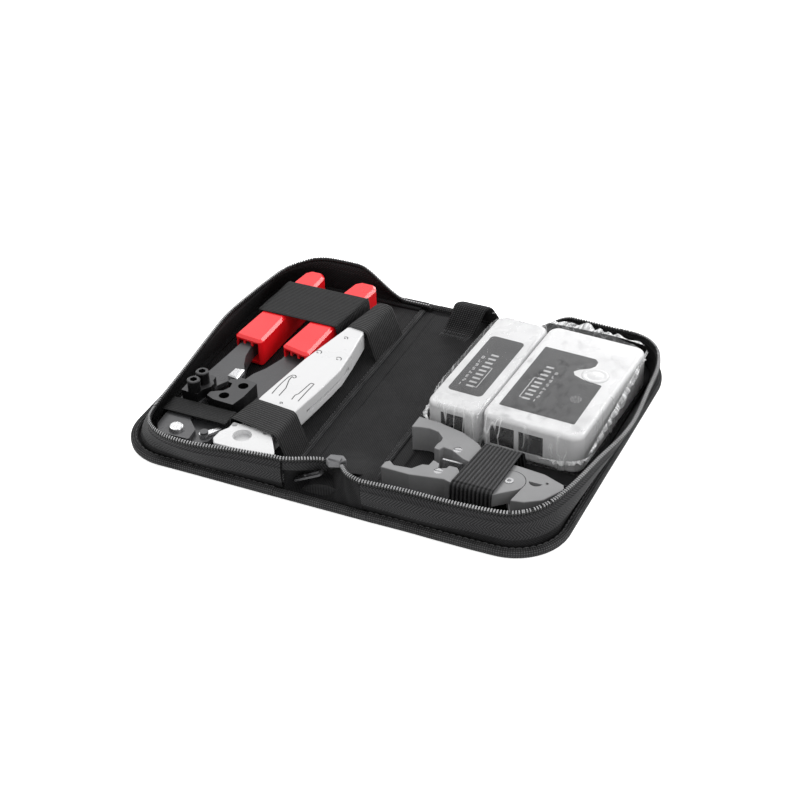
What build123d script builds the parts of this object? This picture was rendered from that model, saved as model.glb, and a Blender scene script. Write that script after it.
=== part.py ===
"""Network installation tool kit: an open zip case that holds a modular-plug crimper, a punch-down tool,
a cable stripper and a two-piece cable tester in a clear bag.

Frame, in millimetres: the origin is the centre of the spine's underside, +X points to the tester half,
+Y to the carry-loop end and +Z up. Each half folds about its own edge of the spine.
"""
from build123d import *
import os
from math import cos, radians, sin

os.makedirs("parts", exist_ok=True)

# ---------------------------------------------------------------- driving dimensions: the case
CASE_X = 137.0          # half the open width
CASE_Y = 107.0          # half the depth
CORNER_R = 32.0
SPINE_X = 25.0          # the two fold lines
FOLD_Z = 2.5            # height of the fold lines: the top of the stiff boards
FOLD_GAP = 0.2          # each board stops this far short of its fold line
BINDING_W = 4.5
BINDING_H = 4.6
LINING_T = 0.6
LINING_TOP = FOLD_Z + LINING_T
LINING_INSET = 2.0      # lining stops this far short of the fold lines
WALL_X = 131.0          # foot of the zip wall
WALL_FRONT = -101.5
WALL_BACK = 100.5
WALL_T = 1.6
LEAN_SIDE = 4.0         # how far the wall leans outward at its top
LEAN_FRONT = 5.5
LEAN_BACK = 1.0
TAPE_TOP = 24.0         # fabric below, zip chain above
ZIP_TOP = 27.2
BACK_WALL_START = 42.0  # the back wall rises from nothing here
BACK_WALL_FULL = 76.0   # to its full height here

# ---------------------------------------------------------------- driving dimensions: the tools
CRIMP_PIVOT = (-99.6, -91.4)
CRIMP_BOLT_R = 3.0
LATCH_PIN_R = 1.5
RUNNING_GAP = 0.06      # radial clearance where a piece turns on a pin
ARM_BOTTOM, ARM_TOP = 8.0, 18.0
CORE_BOTTOM, CORE_TOP = 11.2, 14.8
DIE_TOP = 24.0
GRIP_BOTTOM, GRIP_TOP = 4.6, 23.0

PUNCH_BOTTOM, PUNCH_TOP = 4.2, 24.0
PUNCH_PART_Z = 14.0     # parting plane between its two shells
PUNCH_KEEL_TOP = 12.6   # the lower shell is narrower below this
PLUNGER_X = -50.5
PLUNGER_Z = 14.0
KNIFE_PIN = (-40.7, -42.6)
HOOK_PIN = (-45.4, 18.4)
BLADE_PIN_R = 1.4

PULL_PIVOT = (-2.0, -96.6, 18.5)
PULL_DROOP = -28.0      # the pull hangs this far below level
STRIP_BOTTOM, STRIP_TOP = 4.0, 20.5
STRIP_PIVOT = (97.5, -66.0)
STRIP_PIN_R = 2.5
STRIP_HUB_R = 9.0
STRIP_HUB_BOTTOM = 12.3
STRIP_SCREW_R = 2.6
FAR_SCREW = (60.0, -50.6)
NEAR_SCREW = (57.8, -72.6)

LIGHT_FIRST, LIGHT_PITCH = 7.6, 4.3
TESTER_YAW = -2.578     # degrees: both tester units lie slightly askew
MASTER_AT = (95.8, 25.0)
REMOTE_AT = (46.5, 27.5)
MASTER_SIZE = (62.0, 102.0)
REMOTE_SIZE = (34.0, 102.0)
TESTER_BOTTOM = 4.0
MASTER_TOP = 29.5
REMOTE_TOP = 27.5
SHELL_T = 2.0
FILM_T = 0.3


# ---------------------------------------------------------------- helpers
def save(shape, node):
    export_step(shape, f"parts/{node}.step")


def group(*shapes):
    return Compound(children=[solid for shape in shapes for solid in shape.solids()])


def plate(points, low, high, corner=0.0):
    """A flat plate with the given outline; corner rounds every corner of the outline."""
    face = make_face(Polyline(*points, close=True))
    if corner:
        face = fillet(face.vertices(), corner)
    return Pos(0, 0, low) * extrude(face, amount=high - low)


def box(low, high):
    size = [b - a for a, b in zip(low, high)]
    middle = [(a + b) / 2 for a, b in zip(low, high)]
    return Pos(*middle) * Box(*size)


def post(centre, radius, low, high):
    return Pos(centre[0], centre[1], (low + high) / 2) * Cylinder(radius, high - low)


def soften_top(solid, radius):
    """Rounds the whole top rim of a solid."""
    return fillet(solid.edges().group_by(Axis.Z)[-1], radius)


def rounded_bar(width, length, low, high, corner):
    return Pos(0, 0, low) * extrude(RectangleRounded(width, length, corner), amount=high - low)


def left(shape):
    return mirror(shape, Plane.YZ)


# ---------------------------------------------------------------- the case
def u_path(start, side, front, back, radius):
    """The front run, the side and the back run of one half, with round corners."""
    bend = radius * cos(radians(45))
    front_centre = (side - radius, front + radius)
    back_centre = (side - radius, back - radius)
    return [
        Line((start, front), (side - radius, front)),
        ThreePointArc((side - radius, front), (front_centre[0] + bend, front_centre[1] - bend),
                      (side, front + radius)),
        Line((side, front + radius), (side, back - radius)),
        ThreePointArc((side, back - radius), (back_centre[0] + bend, back_centre[1] + bend),
                      (side - radius, back)),
        Line((side - radius, back), (start, back)),
    ]


def u_strip(start, side, front, back, radius, width):
    """A strip of the given width just inside a U-shaped path."""
    outer = u_path(start, side, front, back, radius)
    inner = u_path(start, side - width, front + width, back - width, radius - width)
    ends = [Line((start, front), (start, front + width)), Line((start, back), (start, back - width))]
    return make_face(outer + inner + ends)


def half_face(start, side, front, back, radius):
    return make_face(u_path(start, side, front, back, radius) + [Line((start, back), (start, front))])


def leaning_strip(low, high, width):
    """Part of the zip wall between two heights; it leans outward as it rises."""
    faces = []
    for height in (low, high):
        rise = (height - FOLD_Z) / (ZIP_TOP - FOLD_Z)
        faces.append(Pos(0, 0, height) * u_strip(
            SPINE_X + 0.6, WALL_X + LEAN_SIDE * rise + (width - WALL_T) / 2,
            WALL_FRONT - LEAN_FRONT * rise - (width - WALL_T) / 2,
            WALL_BACK + LEAN_BACK * rise + (width - WALL_T) / 2,
            CORNER_R - 6 + (width - WALL_T) / 2, width))
    return loft(faces, ruled=True)


def back_relief():
    """What is cut from the back wall, so that it rises slowly from the fold line."""
    outline = [(SPINE_X - 2, FOLD_Z - 1), (BACK_WALL_START, FOLD_Z - 1), (BACK_WALL_START, FOLD_Z + 1),
               (BACK_WALL_FULL, ZIP_TOP + 1), (SPINE_X - 2, ZIP_TOP + 1)]
    face = Plane.XZ * make_face(Polyline(*outline, close=True))
    return Pos(0, CASE_Y, 0) * extrude(face, amount=40)


def cover_panel():
    edge = CASE_X - BINDING_W
    return extrude(half_face(SPINE_X + FOLD_GAP, edge, -CASE_Y + BINDING_W, CASE_Y - BINDING_W,
                             CORNER_R - BINDING_W), amount=FOLD_Z)


def half_binding():
    strip = u_strip(SPINE_X + FOLD_GAP, CASE_X, -CASE_Y, CASE_Y, CORNER_R, BINDING_W)
    solid = extrude(strip, amount=BINDING_H)
    cut = box((SPINE_X - 5, -CASE_Y - 1, FOLD_Z), (SPINE_X + 4, CASE_Y + 1, BINDING_H + 1))
    return solid - cut


def half_lining():
    face = half_face(SPINE_X + LINING_INSET, WALL_X - WALL_T - 0.3, WALL_FRONT + WALL_T + 0.3,
                     WALL_BACK - WALL_T - 0.3, CORNER_R - 8)
    return Pos(0, 0, FOLD_Z) * extrude(face, amount=LINING_T)


def strap_arch(x_foot, x_shoulder, y_range, top, thick=1.2, foot=3.0):
    """An elastic band sewn down at both feet and stretched over what it holds."""
    (foot_a, foot_b), (top_a, top_b) = x_foot, x_shoulder
    outer = [(foot_a - foot, LINING_TOP), (foot_a - foot, LINING_TOP + thick), (foot_a, LINING_TOP + thick),
             (top_a, top), (top_b, top), (foot_b, LINING_TOP + thick), (foot_b + foot, LINING_TOP + thick),
             (foot_b + foot, LINING_TOP)]
    inner = [(foot_b - thick, LINING_TOP), (top_b - thick * 0.6, top - thick),
             (top_a + thick * 0.6, top - thick), (foot_a + thick, LINING_TOP)]
    face = Plane.XZ * make_face(Polyline(*(outer + inner), close=True))
    return Pos(0, y_range[1], 0) * extrude(face, amount=y_range[1] - y_range[0])


def build_case():
    relief = back_relief()
    wall = leaning_strip(FOLD_Z, TAPE_TOP, WALL_T) - relief
    teeth = leaning_strip(TAPE_TOP, ZIP_TOP, 2.8) - relief
    halves = {"cover_panel": cover_panel(), "binding": half_binding(), "lining": half_lining(),
              "zip_wall": wall, "zip_teeth": teeth}
    for name, shape in halves.items():
        save(shape, f"{name}_right")
        save(left(shape), f"{name}_left")

    inner_x = SPINE_X - FOLD_GAP
    edge_y = CASE_Y - BINDING_W
    save(box((-inner_x, -edge_y, 0), (inner_x, edge_y, FOLD_Z)), "spine_panel")
    lining_x = SPINE_X - LINING_INSET
    save(box((-lining_x, WALL_FRONT + 2, FOLD_Z), (lining_x, WALL_BACK - 2, LINING_TOP)), "spine_lining")
    ends = [box((-inner_x, edge_y, 0), (inner_x, CASE_Y, FOLD_Z)),
            box((-inner_x, -CASE_Y, 0), (inner_x, -edge_y, FOLD_Z))]
    save(group(*ends), "spine_binding")

    # The zip ends in a folded fabric tab at each end of the spine; the front one carries the slider.
    front = [(-101.0, LINING_TOP), (-91.5, 17.4), (-86.5, 17.4), (-72.0, LINING_TOP + 0.8),
             (-72.0, LINING_TOP)]
    face = Plane.YZ * make_face(Polyline(*front, close=True))
    front_tab = Pos(-4, 0, 0) * extrude(face, amount=16)
    back = [(85.0, LINING_TOP), (85.0, LINING_TOP + 0.8), (97.0, LINING_TOP + 4), (98.0, LINING_TOP)]
    face = Plane.YZ * make_face(Polyline(*back, close=True))
    back_tab = Pos(-22, 0, 0) * extrude(face, amount=8)

    # Short runs of zip from the slider to each wall.
    run = [(9.5, -90.5), (16, -99.5), (SPINE_X, -105.6), (SPINE_X, -103.4), (18, -98.2), (11.5, -89.5)]
    right_run = plate(run, 21.5, 24.0)
    run = [(-3.5, -90.5), (-14, -99.0), (-SPINE_X, -105.6), (-SPINE_X, -103.4), (-15, -97.0), (-3.5, -88.5)]
    left_run = plate(run, 21.5, 24.0)
    save(group(front_tab, back_tab, right_run, left_run), "zip_end_tabs")

    # Carry loop: a flat strap from the spine lining over the back edge.
    loop = [(74.5, LINING_TOP), (74.5, 4.6), (81.5, 4.6), (84.5, 21.0), (88.5, 24.0), (94.0, 22.5),
            (104.8, 6.6), (104.8, FOLD_Z), (102.6, FOLD_Z), (102.6, 6.2), (93.0, 20.6), (89.0, 22.3),
            (86.0, 19.8), (83.2, LINING_TOP)]
    face = Plane.YZ * make_face(Polyline(*loop, close=True))
    loop_solid = Pos(-6, 0, 0) * extrude(face, amount=25)
    save(loop_solid, "carry_loop")


def build_slider():
    body = plate([(-2.6, -91.4), (0.4, -93.6), (6.0, -91.6), (9.2, -88.2), (5.4, -85.0), (-1.6, -86.6)],
                 20.8, 24.6, 0.9)
    slot = plate([(-6, -91.0), (12, -91.0), (12, -88.6), (-6, -88.6)], 21.8, 23.4)
    bridge = box((-1.0, -91.6, 24.6), (6.4, -88.6, 25.6))
    save(soften_top(body, 0.6) - slot + bridge, "zip_slider")
    # The pull: a stamped frame with a long window, hung beside the slider's mouth.
    length, width, thick = 21.0, 5.4, 1.3
    ring = RectangleRounded(length, width, 2.4) - Pos(2.2, 0, 0) * RectangleRounded(length - 9, width - 2.8, 1.1)
    frame = extrude(ring, amount=thick)
    placed = Pos(*PULL_PIVOT) * Rot(0, PULL_DROOP, 0) * Pos(-length / 2, 0, -thick / 2) * frame
    save(placed, "zip_pull")


def build_right_bands():
    top = STRIP_TOP + 1.6
    profile = [(-84.6, LINING_TOP), (-84.4, LINING_TOP + 1.2), (-83.4, top - 2.5), (-81.5, top), (-40.5, top),
               (-38.0, top - 3.0), (-35.8, LINING_TOP + 1.2), (-33.5, LINING_TOP + 1.2), (-33.5, LINING_TOP),
               (-37.0, LINING_TOP), (-39.2, top - 3.6), (-41.2, top - 1.2), (-81.0, top - 1.2),
               (-82.2, top - 2.7), (-83.2, LINING_TOP)]
    face = Plane.YZ * make_face(Polyline(*profile, close=True))
    save(Pos(68.5, 0, 0) * extrude(face, amount=24), "stripper_elastic")


def build_left_bands():
    save(strap_arch((-119.0, -54.6), (-115.5, -55.6), (32.5, 69.0), GRIP_TOP + 1.6, foot=1.2), "grip_elastic")
    save(strap_arch((-119.5, -72.8), (-116.5, -73.2), (-79.0, -66.2), ARM_TOP + 1.8, foot=0.5), "nose_elastic")
    save(strap_arch((-70.6, -30.5), (-69.5, -37.5), (-80.0, -56.5), PUNCH_TOP + 1.6, foot=0.4), "punch_elastic")
    save(strap_arch((-50.0, -31.0), (-49.4, -38.5), (40.5, 66.5), 24.0, foot=1.2), "punch_tip_elastic")


# ---------------------------------------------------------------- the crimper
def build_crimper():
    px, py = CRIMP_PIVOT
    nose = [(-108, -98.2), (-112.5, -91), (-113.5, -80), (-113.2, -45), (-111, -27), (-108.6, 3),
            (-107.8, 32), (-99.6, 32), (-101.4, 4), (-98.8, -10), (-95.5, -18), (-92.5, -23),
            (-94.0, -34), (-99.2, -44), (-99.6, -71), (-97.0, -80), (-89.0, -88.0), (-88.0, -97.6)]
    full = plate(nose, ARM_BOTTOM, ARM_TOP, 1.2)
    room = plate([(-116, -100), (-112.8, -92), (-110, -70), (-106, -40), (-100.5, -26), (-99.2, -14),
                  (-94, -6), (-80, -20), (-80, -100)], CORE_BOTTOM - 0.2, CORE_TOP + 0.2)
    left_arm = full - room - post((px, py), CRIMP_BOLT_R, 0, 30)

    core = [(-105, -97.6), (-107.4, -90), (-104.5, -84), (-97.2, -76), (-95.0, -70), (-93.0, -44),
            (-89.5, -28), (-87.8, -21), (-83.5, -13), (-79.4, 0), (-78.2, 32), (-68.4, 32), (-66.4, 3),
            (-67.6, -30), (-69.2, -44), (-74.0, -60), (-75.0, -74), (-77.5, -84), (-79.0, -92), (-86, -98.4)]
    right_arm = plate(core, CORE_BOTTOM, CORE_TOP, 0.8)
    right_arm -= post((px, py), CRIMP_BOLT_R + RUNNING_GAP, 0, 30)
    latch_at = (-83.2, -88.0)
    right_arm += post(latch_at, LATCH_PIN_R, CORE_BOTTOM, 17.4) + post(latch_at, 2.5, 17.05, 18.4)

    bolt = post((px, py), CRIMP_BOLT_R, 4.4, ARM_TOP + 0.5) + soften_top(post((px, py), 4.4, ARM_TOP, 20.4), 1.1)
    bolt += post((px, py), 4.6, 4.4, ARM_BOTTOM) - post((px, py), 2.0, 20.0, 21.0)

    save(left_arm, "crimper_left_arm")
    save(right_arm, "crimper_right_arm")

    # Dies: the left block is bolted to the left arm; the right block straddles the right arm's plate.
    left_block = plate([(-112.2, -63.2), (-101.2, -64.0), (-100.4, -58.6), (-97.4, -54.0), (-97.4, -50.2),
                        (-99.4, -47.8), (-99.8, -43.5), (-112.0, -42.5)], ARM_TOP, DIE_TOP, 0.4)
    left_block = left_block.solid()
    bolt_spots = [(-104.6, -60.6), (-104.2, -51.2)]
    for spot in bolt_spots:
        left_block -= post(spot, 2.0, ARM_TOP, DIE_TOP)
    save(left_block, "crimper_left_die")
    die_bolts = []
    for spot in bolt_spots:
        socket = Pos(spot[0], spot[1], 27.6) * extrude(RegularPolygon(2.3, 6), amount=5)
        head = post(spot, 3.9, DIE_TOP, 31.8)
        head = chamfer(head.edges().group_by(Axis.Z)[-1], 0.5)
        die_bolts.append(head + post(spot, 2.0, ARM_TOP + 0.1, DIE_TOP + 0.5) - socket)
    save(group(*die_bolts), "crimper_die_bolts")

    block_outline = [(-95.4, -62.2), (-90, -64.6), (-76.6, -65.2), (-74.6, -56), (-73.8, -40.6),
                     (-86.0, -38.6), (-87.2, -41.5), (-90.6, -42.2), (-90.6, -45.4), (-87.4, -46.0),
                     (-86.6, -50.0), (-88.6, -54.5), (-92.2, -56.5), (-95.2, -58.5)]
    right_block = plate(block_outline, CORE_TOP, DIE_TOP, 0.5)
    for spot in ((-85.8, -58.8), (-80.0, -46.0)):
        right_block -= post(spot, 3.1, CORE_TOP - 1, DIE_TOP + 1)
    save(group(right_block, plate(block_outline, 5.4, CORE_BOTTOM, 0.5)), "crimper_right_die")

    # Blade: a bright cutter held to the left arm behind the dies.
    blade = plate([(-97.0, -35.0), (-96.4, -27.0), (-90.4, -26.2), (-89.8, -36.4)], ARM_TOP, 21.0)
    save(chamfer(blade.edges().group_by(Axis.Z)[-1], 0.8), "crimper_cutter_blade")

    # Latch: a small lever, on the rivet of the right arm, that holds the handles shut.
    lever = post(latch_at, 3.0, CORE_TOP + 0.2, CORE_TOP + 2.2)
    arm = plate([(-84.0, -86.6), (-78.4, -79.8), (-75.6, -80.4), (-81.4, -89.6)], CORE_TOP + 0.2, CORE_TOP + 2.2, 0.6)
    save(lever + arm - post(latch_at, LATCH_PIN_R + RUNNING_GAP, 0, 30), "crimper_latch")

    # Return spring: coils round the pivot bolt's lower end, below the left arm.
    coils = None
    for turn in range(3):
        ring = Pos(px, py, 5.2 + turn * 0.9) * Torus(6.0, 0.55)
        coils = ring if coils is None else coils + ring
    save(group(bolt, coils), "crimper_bolt_and_spring")

    left_grip = [(-113.4, 3.0), (-93.8, 1.0), (-93.4, 36), (-92.2, 70), (-92.2, 84), (-95.5, 88), (-103, 88),
                 (-106.6, 84), (-108.2, 72), (-110.6, 34)]
    right_grip = [(-80.4, 3.2), (-61.0, -1.2), (-59.8, 34), (-56.4, 68), (-55.0, 83), (-58, 87.6), (-67, 87.6),
                  (-71, 84), (-73.2, 71), (-77.2, 34)]
    for side, outline, arm_shape in (("left", left_grip, left_arm), ("right", right_grip, right_arm)):
        grip = plate(outline, GRIP_BOTTOM, GRIP_TOP, 2.6)
        grip = chamfer(grip.edges().group_by(Axis.Z)[-1], 1.6)
        grip = fillet(grip.edges().group_by(Axis.Z)[0], 1.2)
        (x_a, y_a), (x_b, y_b) = outline[0], outline[1]
        mouth = plate([(x_a + 2.4, y_a - 3), (x_b - 2.4, y_b - 3), (x_b - 2.4, y_b + 9), (x_a + 2.4, y_a + 9)],
                      GRIP_BOTTOM + 2.4, GRIP_TOP - 2.6)
        for rib in (0.36, 0.64):
            x_rib = x_a + (x_b - x_a) * rib
            mouth -= box((x_rib - 0.7, -6, GRIP_TOP - 5.4), (x_rib + 0.7, 14, GRIP_TOP))
        save(grip - mouth - arm_shape, f"crimper_{side}_grip")


# ---------------------------------------------------------------- the punch-down tool
def punch_outline():
    return [(-66.5, -73.6), (-41.5, -73.6), (-39.4, -57), (-35.9, -29), (-34.3, -9), (-36.0, 8.5),
            (-39.2, 32), (-40.8, 36.5), (-49.0, 36.5), (-51.4, 34.7), (-59.9, -6.5), (-65.4, -50)]


def keel_outline():
    return [(-64.0, -73.6), (-46.0, -73.6), (-44.2, -57), (-41.4, -29), (-39.9, -9), (-41.0, 8.5),
            (-42.6, 28), (-44.0, 33.0), (-49.4, 33.0), (-50.6, 31), (-57.8, -8), (-63.0, -50)]


def build_punch_tool():
    top = plate(punch_outline(), PUNCH_PART_Z, PUNCH_TOP, 1.2)
    top = fillet(top.edges().group_by(Axis.Z)[-1], 1.0)
    keel = plate(keel_outline(), PUNCH_BOTTOM, PUNCH_KEEL_TOP)
    keel = chamfer(keel.edges().group_by(Axis.Z)[0], 1.0)
    bottom = keel + plate(punch_outline(), PUNCH_KEEL_TOP, PUNCH_PART_Z, 1.2)
    bore = Pos(PLUNGER_X, -60, PLUNGER_Z) * Rot(90, 0, 0) * Cylinder(4.8, 50)
    knife_slot = box((-44.0, -46.4, 15.6), (-28, 4, 18.0))
    hook_slot = box((-48.6, -26, 9.4), (-28, 22.4, 11.8))
    pins = [post(KNIFE_PIN, BLADE_PIN_R, 13.0, 23.0), post(HOOK_PIN, BLADE_PIN_R, 5.2, 23.0)]
    screws_at = [(-59.2, -46), (-52.0, -22)]
    for shape in (bore, knife_slot, *pins):
        top -= shape
    for shape in (bore, hook_slot, *pins):
        bottom -= shape
    fasteners = []
    for spot in screws_at:
        top -= post(spot, 1.3, PUNCH_PART_Z, PUNCH_PART_Z + 5)
        bottom -= post(spot, 1.3, 6, PUNCH_PART_Z + 1) + post(spot, 2.6, 0, 7)
        fasteners.append(post(spot, 1.3, 6.5, PUNCH_PART_Z + 5) + post(spot, 2.6, 5.0, 7.0))
    save(top, "punch_top_shell")
    save(bottom, "punch_bottom_shell")
    save(group(*fasteners, *pins), "punch_pins_and_screws")

    # Head: slides back into the body and drives the wire into its slot.
    head = plate([(-71.4, -97.6), (-68.5, -101.8), (-33.8, -101.8), (-31.6, -98.2), (-33.0, -95.2),
                  (-42.0, -81.6), (-42.0, -79.4), (-68.0, -79.4), (-68.0, -85.4), (-71.0, -90.4)],
                 PUNCH_BOTTOM + 0.4, PUNCH_TOP - 0.2, 1.2)
    head = fillet(head.edges().group_by(Axis.Z)[-1], 0.8)
    under = Plane.YZ * make_face(Polyline((-103.2, 3), (-98.6, 3), (-103.2, 17), close=True))
    head -= Pos(-80, 0, 0) * extrude(under, amount=60)
    head -= post((-56.8, -89.4), 5.6, PUNCH_TOP - 4.0, 30)
    for spot in ((-65.8, -82.0), (-45.6, -82.2)):
        head -= post(spot, 1.7, PUNCH_TOP - 1.8, 30)
    stem = Pos(PLUNGER_X, -68.4, PLUNGER_Z) * Rot(90, 0, 0) * Cylinder(3.0, 36)
    flange = Pos(PLUNGER_X, -72.2, PLUNGER_Z) * Rot(90, 0, 0) * Cylinder(4.7, 1.6)
    save(head + stem + flange, "punch_head")
    coils = box((PLUNGER_X - 0.3, -66.5, PLUNGER_Z + 3.6), (PLUNGER_X + 0.3, -41.3, PLUNGER_Z + 4.2))
    for turn in range(7):
        coils += Pos(PLUNGER_X, -66.5 + 4.2 * turn, PLUNGER_Z) * Rot(90, 0, 0) * Torus(3.9, 0.5)
    save(coils, "punch_spring")

    knife = plate([(-42.8, -44.6), (-38.6, -44.6), (-35.6, -8), (-37.4, 2.0), (-39.8, -6)], 15.9, 17.7, 0.5)
    save(knife - post(KNIFE_PIN, BLADE_PIN_R + RUNNING_GAP, 3, 25), "punch_knife")
    hook = plate([(-47.2, 20.4), (-43.4, 20.4), (-42.6, -18.0), (-44.4, -22.5), (-47.4, -22.8), (-47.4, -19.6),
                  (-45.4, -18.0)], 9.7, 11.5, 0.35)
    save(hook - post(HOOK_PIN, BLADE_PIN_R + RUNNING_GAP, 3, 25), "punch_hook")


# ---------------------------------------------------------------- the cable stripper
def slotted_screw(spot):
    head = post(spot, STRIP_SCREW_R, STRIP_TOP - 2.4, STRIP_TOP - 0.3)
    return head - box((spot[0] - 4, spot[1] - 0.4, STRIP_TOP - 0.9), (spot[0] + 4, spot[1] + 0.4, STRIP_TOP))


def build_stripper():
    px, py = STRIP_PIVOT
    far = [(26.6, -29.6), (26.6, -40.4), (31.2, -39.0), (37.0, -38.0), (43.0, -39.2), (47.4, -43.4), (47.8, -46.6),
           (46.8, -50.0), (46.8, -54.0), (50.2, -54.6), (51.6, -51.4), (57.0, -52.2), (66.0, -57.2), (72.6, -59.2),
           (90.0, -56.4), (104.0, -82.0), (112.0, -80.6), (121.0, -74.8), (128.0, -62.0), (126.4, -58.0),
           (113.4, -53.0), (98.0, -51.4), (84.0, -50.4), (77.0, -48.6), (68.0, -40.4), (56.0, -34.2), (40.0, -30.4)]
    far_jaw = plate(far, STRIP_BOTTOM, STRIP_TOP, 0.5)
    far_jaw = fillet(far_jaw.edges().group_by(Axis.Z)[-1], 0.6)
    hub_room = post(STRIP_PIVOT, STRIP_HUB_R + 0.4, STRIP_HUB_BOTTOM - 0.3, 30)
    arm_room = plate([(70, -60.6), (px, py + STRIP_HUB_R + 0.4), (px + 9.4, py), (104.6, -82.4), (96, -90), (70, -90)],
                     STRIP_HUB_BOTTOM - 0.3, 30)
    far_jaw = far_jaw - hub_room - arm_room - post(STRIP_PIVOT, STRIP_PIN_R, 0, 30)
    smile = Pos(111.6, -61.0, STRIP_TOP - 3) * extrude(
        make_face(Circle(4.2).edges() + Circle(2.6).edges()), amount=5)
    smile &= box((100, -70, 0), (120, -62.2, 30))
    far_jaw -= smile
    far_jaw -= post((117.6, -60.4), 0.9, STRIP_TOP - 4, 30)
    far_jaw -= post(FAR_SCREW, STRIP_SCREW_R, STRIP_TOP - 2.4, 30)

    near = [(26.6, -81.6), (26.8, -76.4), (29.0, -74.2), (32.6, -77.2), (43.0, -76.0), (47.0, -70.4), (50.6, -69.6),
            (51.2, -64.4), (55.6, -66.2), (56.6, -70.6), (60.8, -68.4), (61.4, -65.8), (66.4, -65.8), (70.6, -70.8),
            (88.0, -66.6), (px, py + 2), (102.6, -73.4), (93, -81.6), (72.0, -80.9), (63.6, -78.4), (44.0, -81.9)]
    near_jaw = plate(near, STRIP_BOTTOM, STRIP_TOP, 0.5)
    near_jaw = fillet(near_jaw.edges().group_by(Axis.Z)[-1], 0.6)
    lower_room = plate([(70.0, -60), (86.4, -73.6), (86.4, -90), (140, -90), (140, -50)], 0, STRIP_HUB_BOTTOM)
    hub = post(STRIP_PIVOT, STRIP_HUB_R, STRIP_HUB_BOTTOM, STRIP_TOP)
    far_low = plate([(px - 12, py + 12), (px - 12, py - 6.5), (104, -82), (128, -82), (128, -50)], 0, STRIP_HUB_BOTTOM)
    near_jaw = near_jaw + hub - lower_room - far_low
    near_jaw -= post(STRIP_PIVOT, STRIP_PIN_R + RUNNING_GAP, 0, 30)
    near_jaw -= post(NEAR_SCREW, STRIP_SCREW_R, STRIP_TOP - 2.4, 30)

    save(far_jaw, "stripper_far_jaw")
    save(near_jaw, "stripper_near_jaw")
    pin = post(STRIP_PIVOT, STRIP_PIN_R, STRIP_BOTTOM + 0.4, STRIP_TOP + 0.3)
    pin -= post(STRIP_PIVOT, 1.2, STRIP_TOP - 1.2, 30)
    blade = box((54.0, -58.6, 9.0), (66.0, -57.4, 17.5))
    save(blade - far_jaw, "stripper_blade")
    save(group(pin, slotted_screw(FAR_SCREW)), "stripper_pin_and_screw")
    save(slotted_screw(NEAR_SCREW), "stripper_near_screw")


# ---------------------------------------------------------------- the cable tester
def placed(centre, shape):
    return Pos(centre[0], centre[1], 0) * Rot(0, 0, TESTER_YAW) * shape


def tester_unit(name, centre, size, top, sockets, label, light_x, lights_y):
    """One hollow unit with its shells, sockets, label, lights and circuit board."""
    width, length = size
    middle = (TESTER_BOTTOM + top) / 2
    body = rounded_bar(width, length, TESTER_BOTTOM, top, 7.0)
    body = fillet(body.edges().group_by(Axis.Z)[-1], 3.0)
    body = fillet(body.edges().group_by(Axis.Z)[0], 2.5)
    hollow = rounded_bar(width - 2 * SHELL_T, length - 2 * SHELL_T, TESTER_BOTTOM + SHELL_T, top - SHELL_T, 5.0)
    front = -length / 2
    socket_shapes = []
    cut = None
    for x in sockets:
        outer = box((x - 7.6, front + 0.3, middle - 6.6), (x + 7.6, front + 17, middle + 6.8))
        inner = box((x - 6.2, front - 1, middle - 4.6), (x + 6.2, front + 15, middle + 4.2))
        key = box((x - 3.2, front - 1, middle - 6.0), (x + 3.2, front + 15, middle - 4.6))
        socket_shapes.append(outer - inner - key)
        cut = outer if cut is None else cut + outer
    mouth = cut + Pos(0, -4, 0) * cut
    label_plate = Pos(0, 0, top - 0.5) * extrude(label, amount=0.5)
    windows = [box((light_x - 2.4, y - 0.85, top - SHELL_T), (light_x + 2.4, y + 0.85, top)) for y in lights_y]
    shell = body - hollow - mouth - label_plate
    label_plate_cut = label_plate
    for window in windows:
        shell -= window
        label_plate_cut -= window
    upper = shell & box((-60, -60, middle), (60, 60, 40))
    lower = shell & box((-60, -60, 0), (60, 60, middle))
    board_top = top - SHELL_T - 1.0
    board = box((-width / 2 + 5, front + 20, board_top - 1.6), (width / 2 - 5, -front - 8, board_top))
    parts = {"top_shell": upper, "label": label_plate_cut, "light_windows": group(*windows),
             "sockets": group(*socket_shapes), "circuit_board": board}
    return parts, lower


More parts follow.
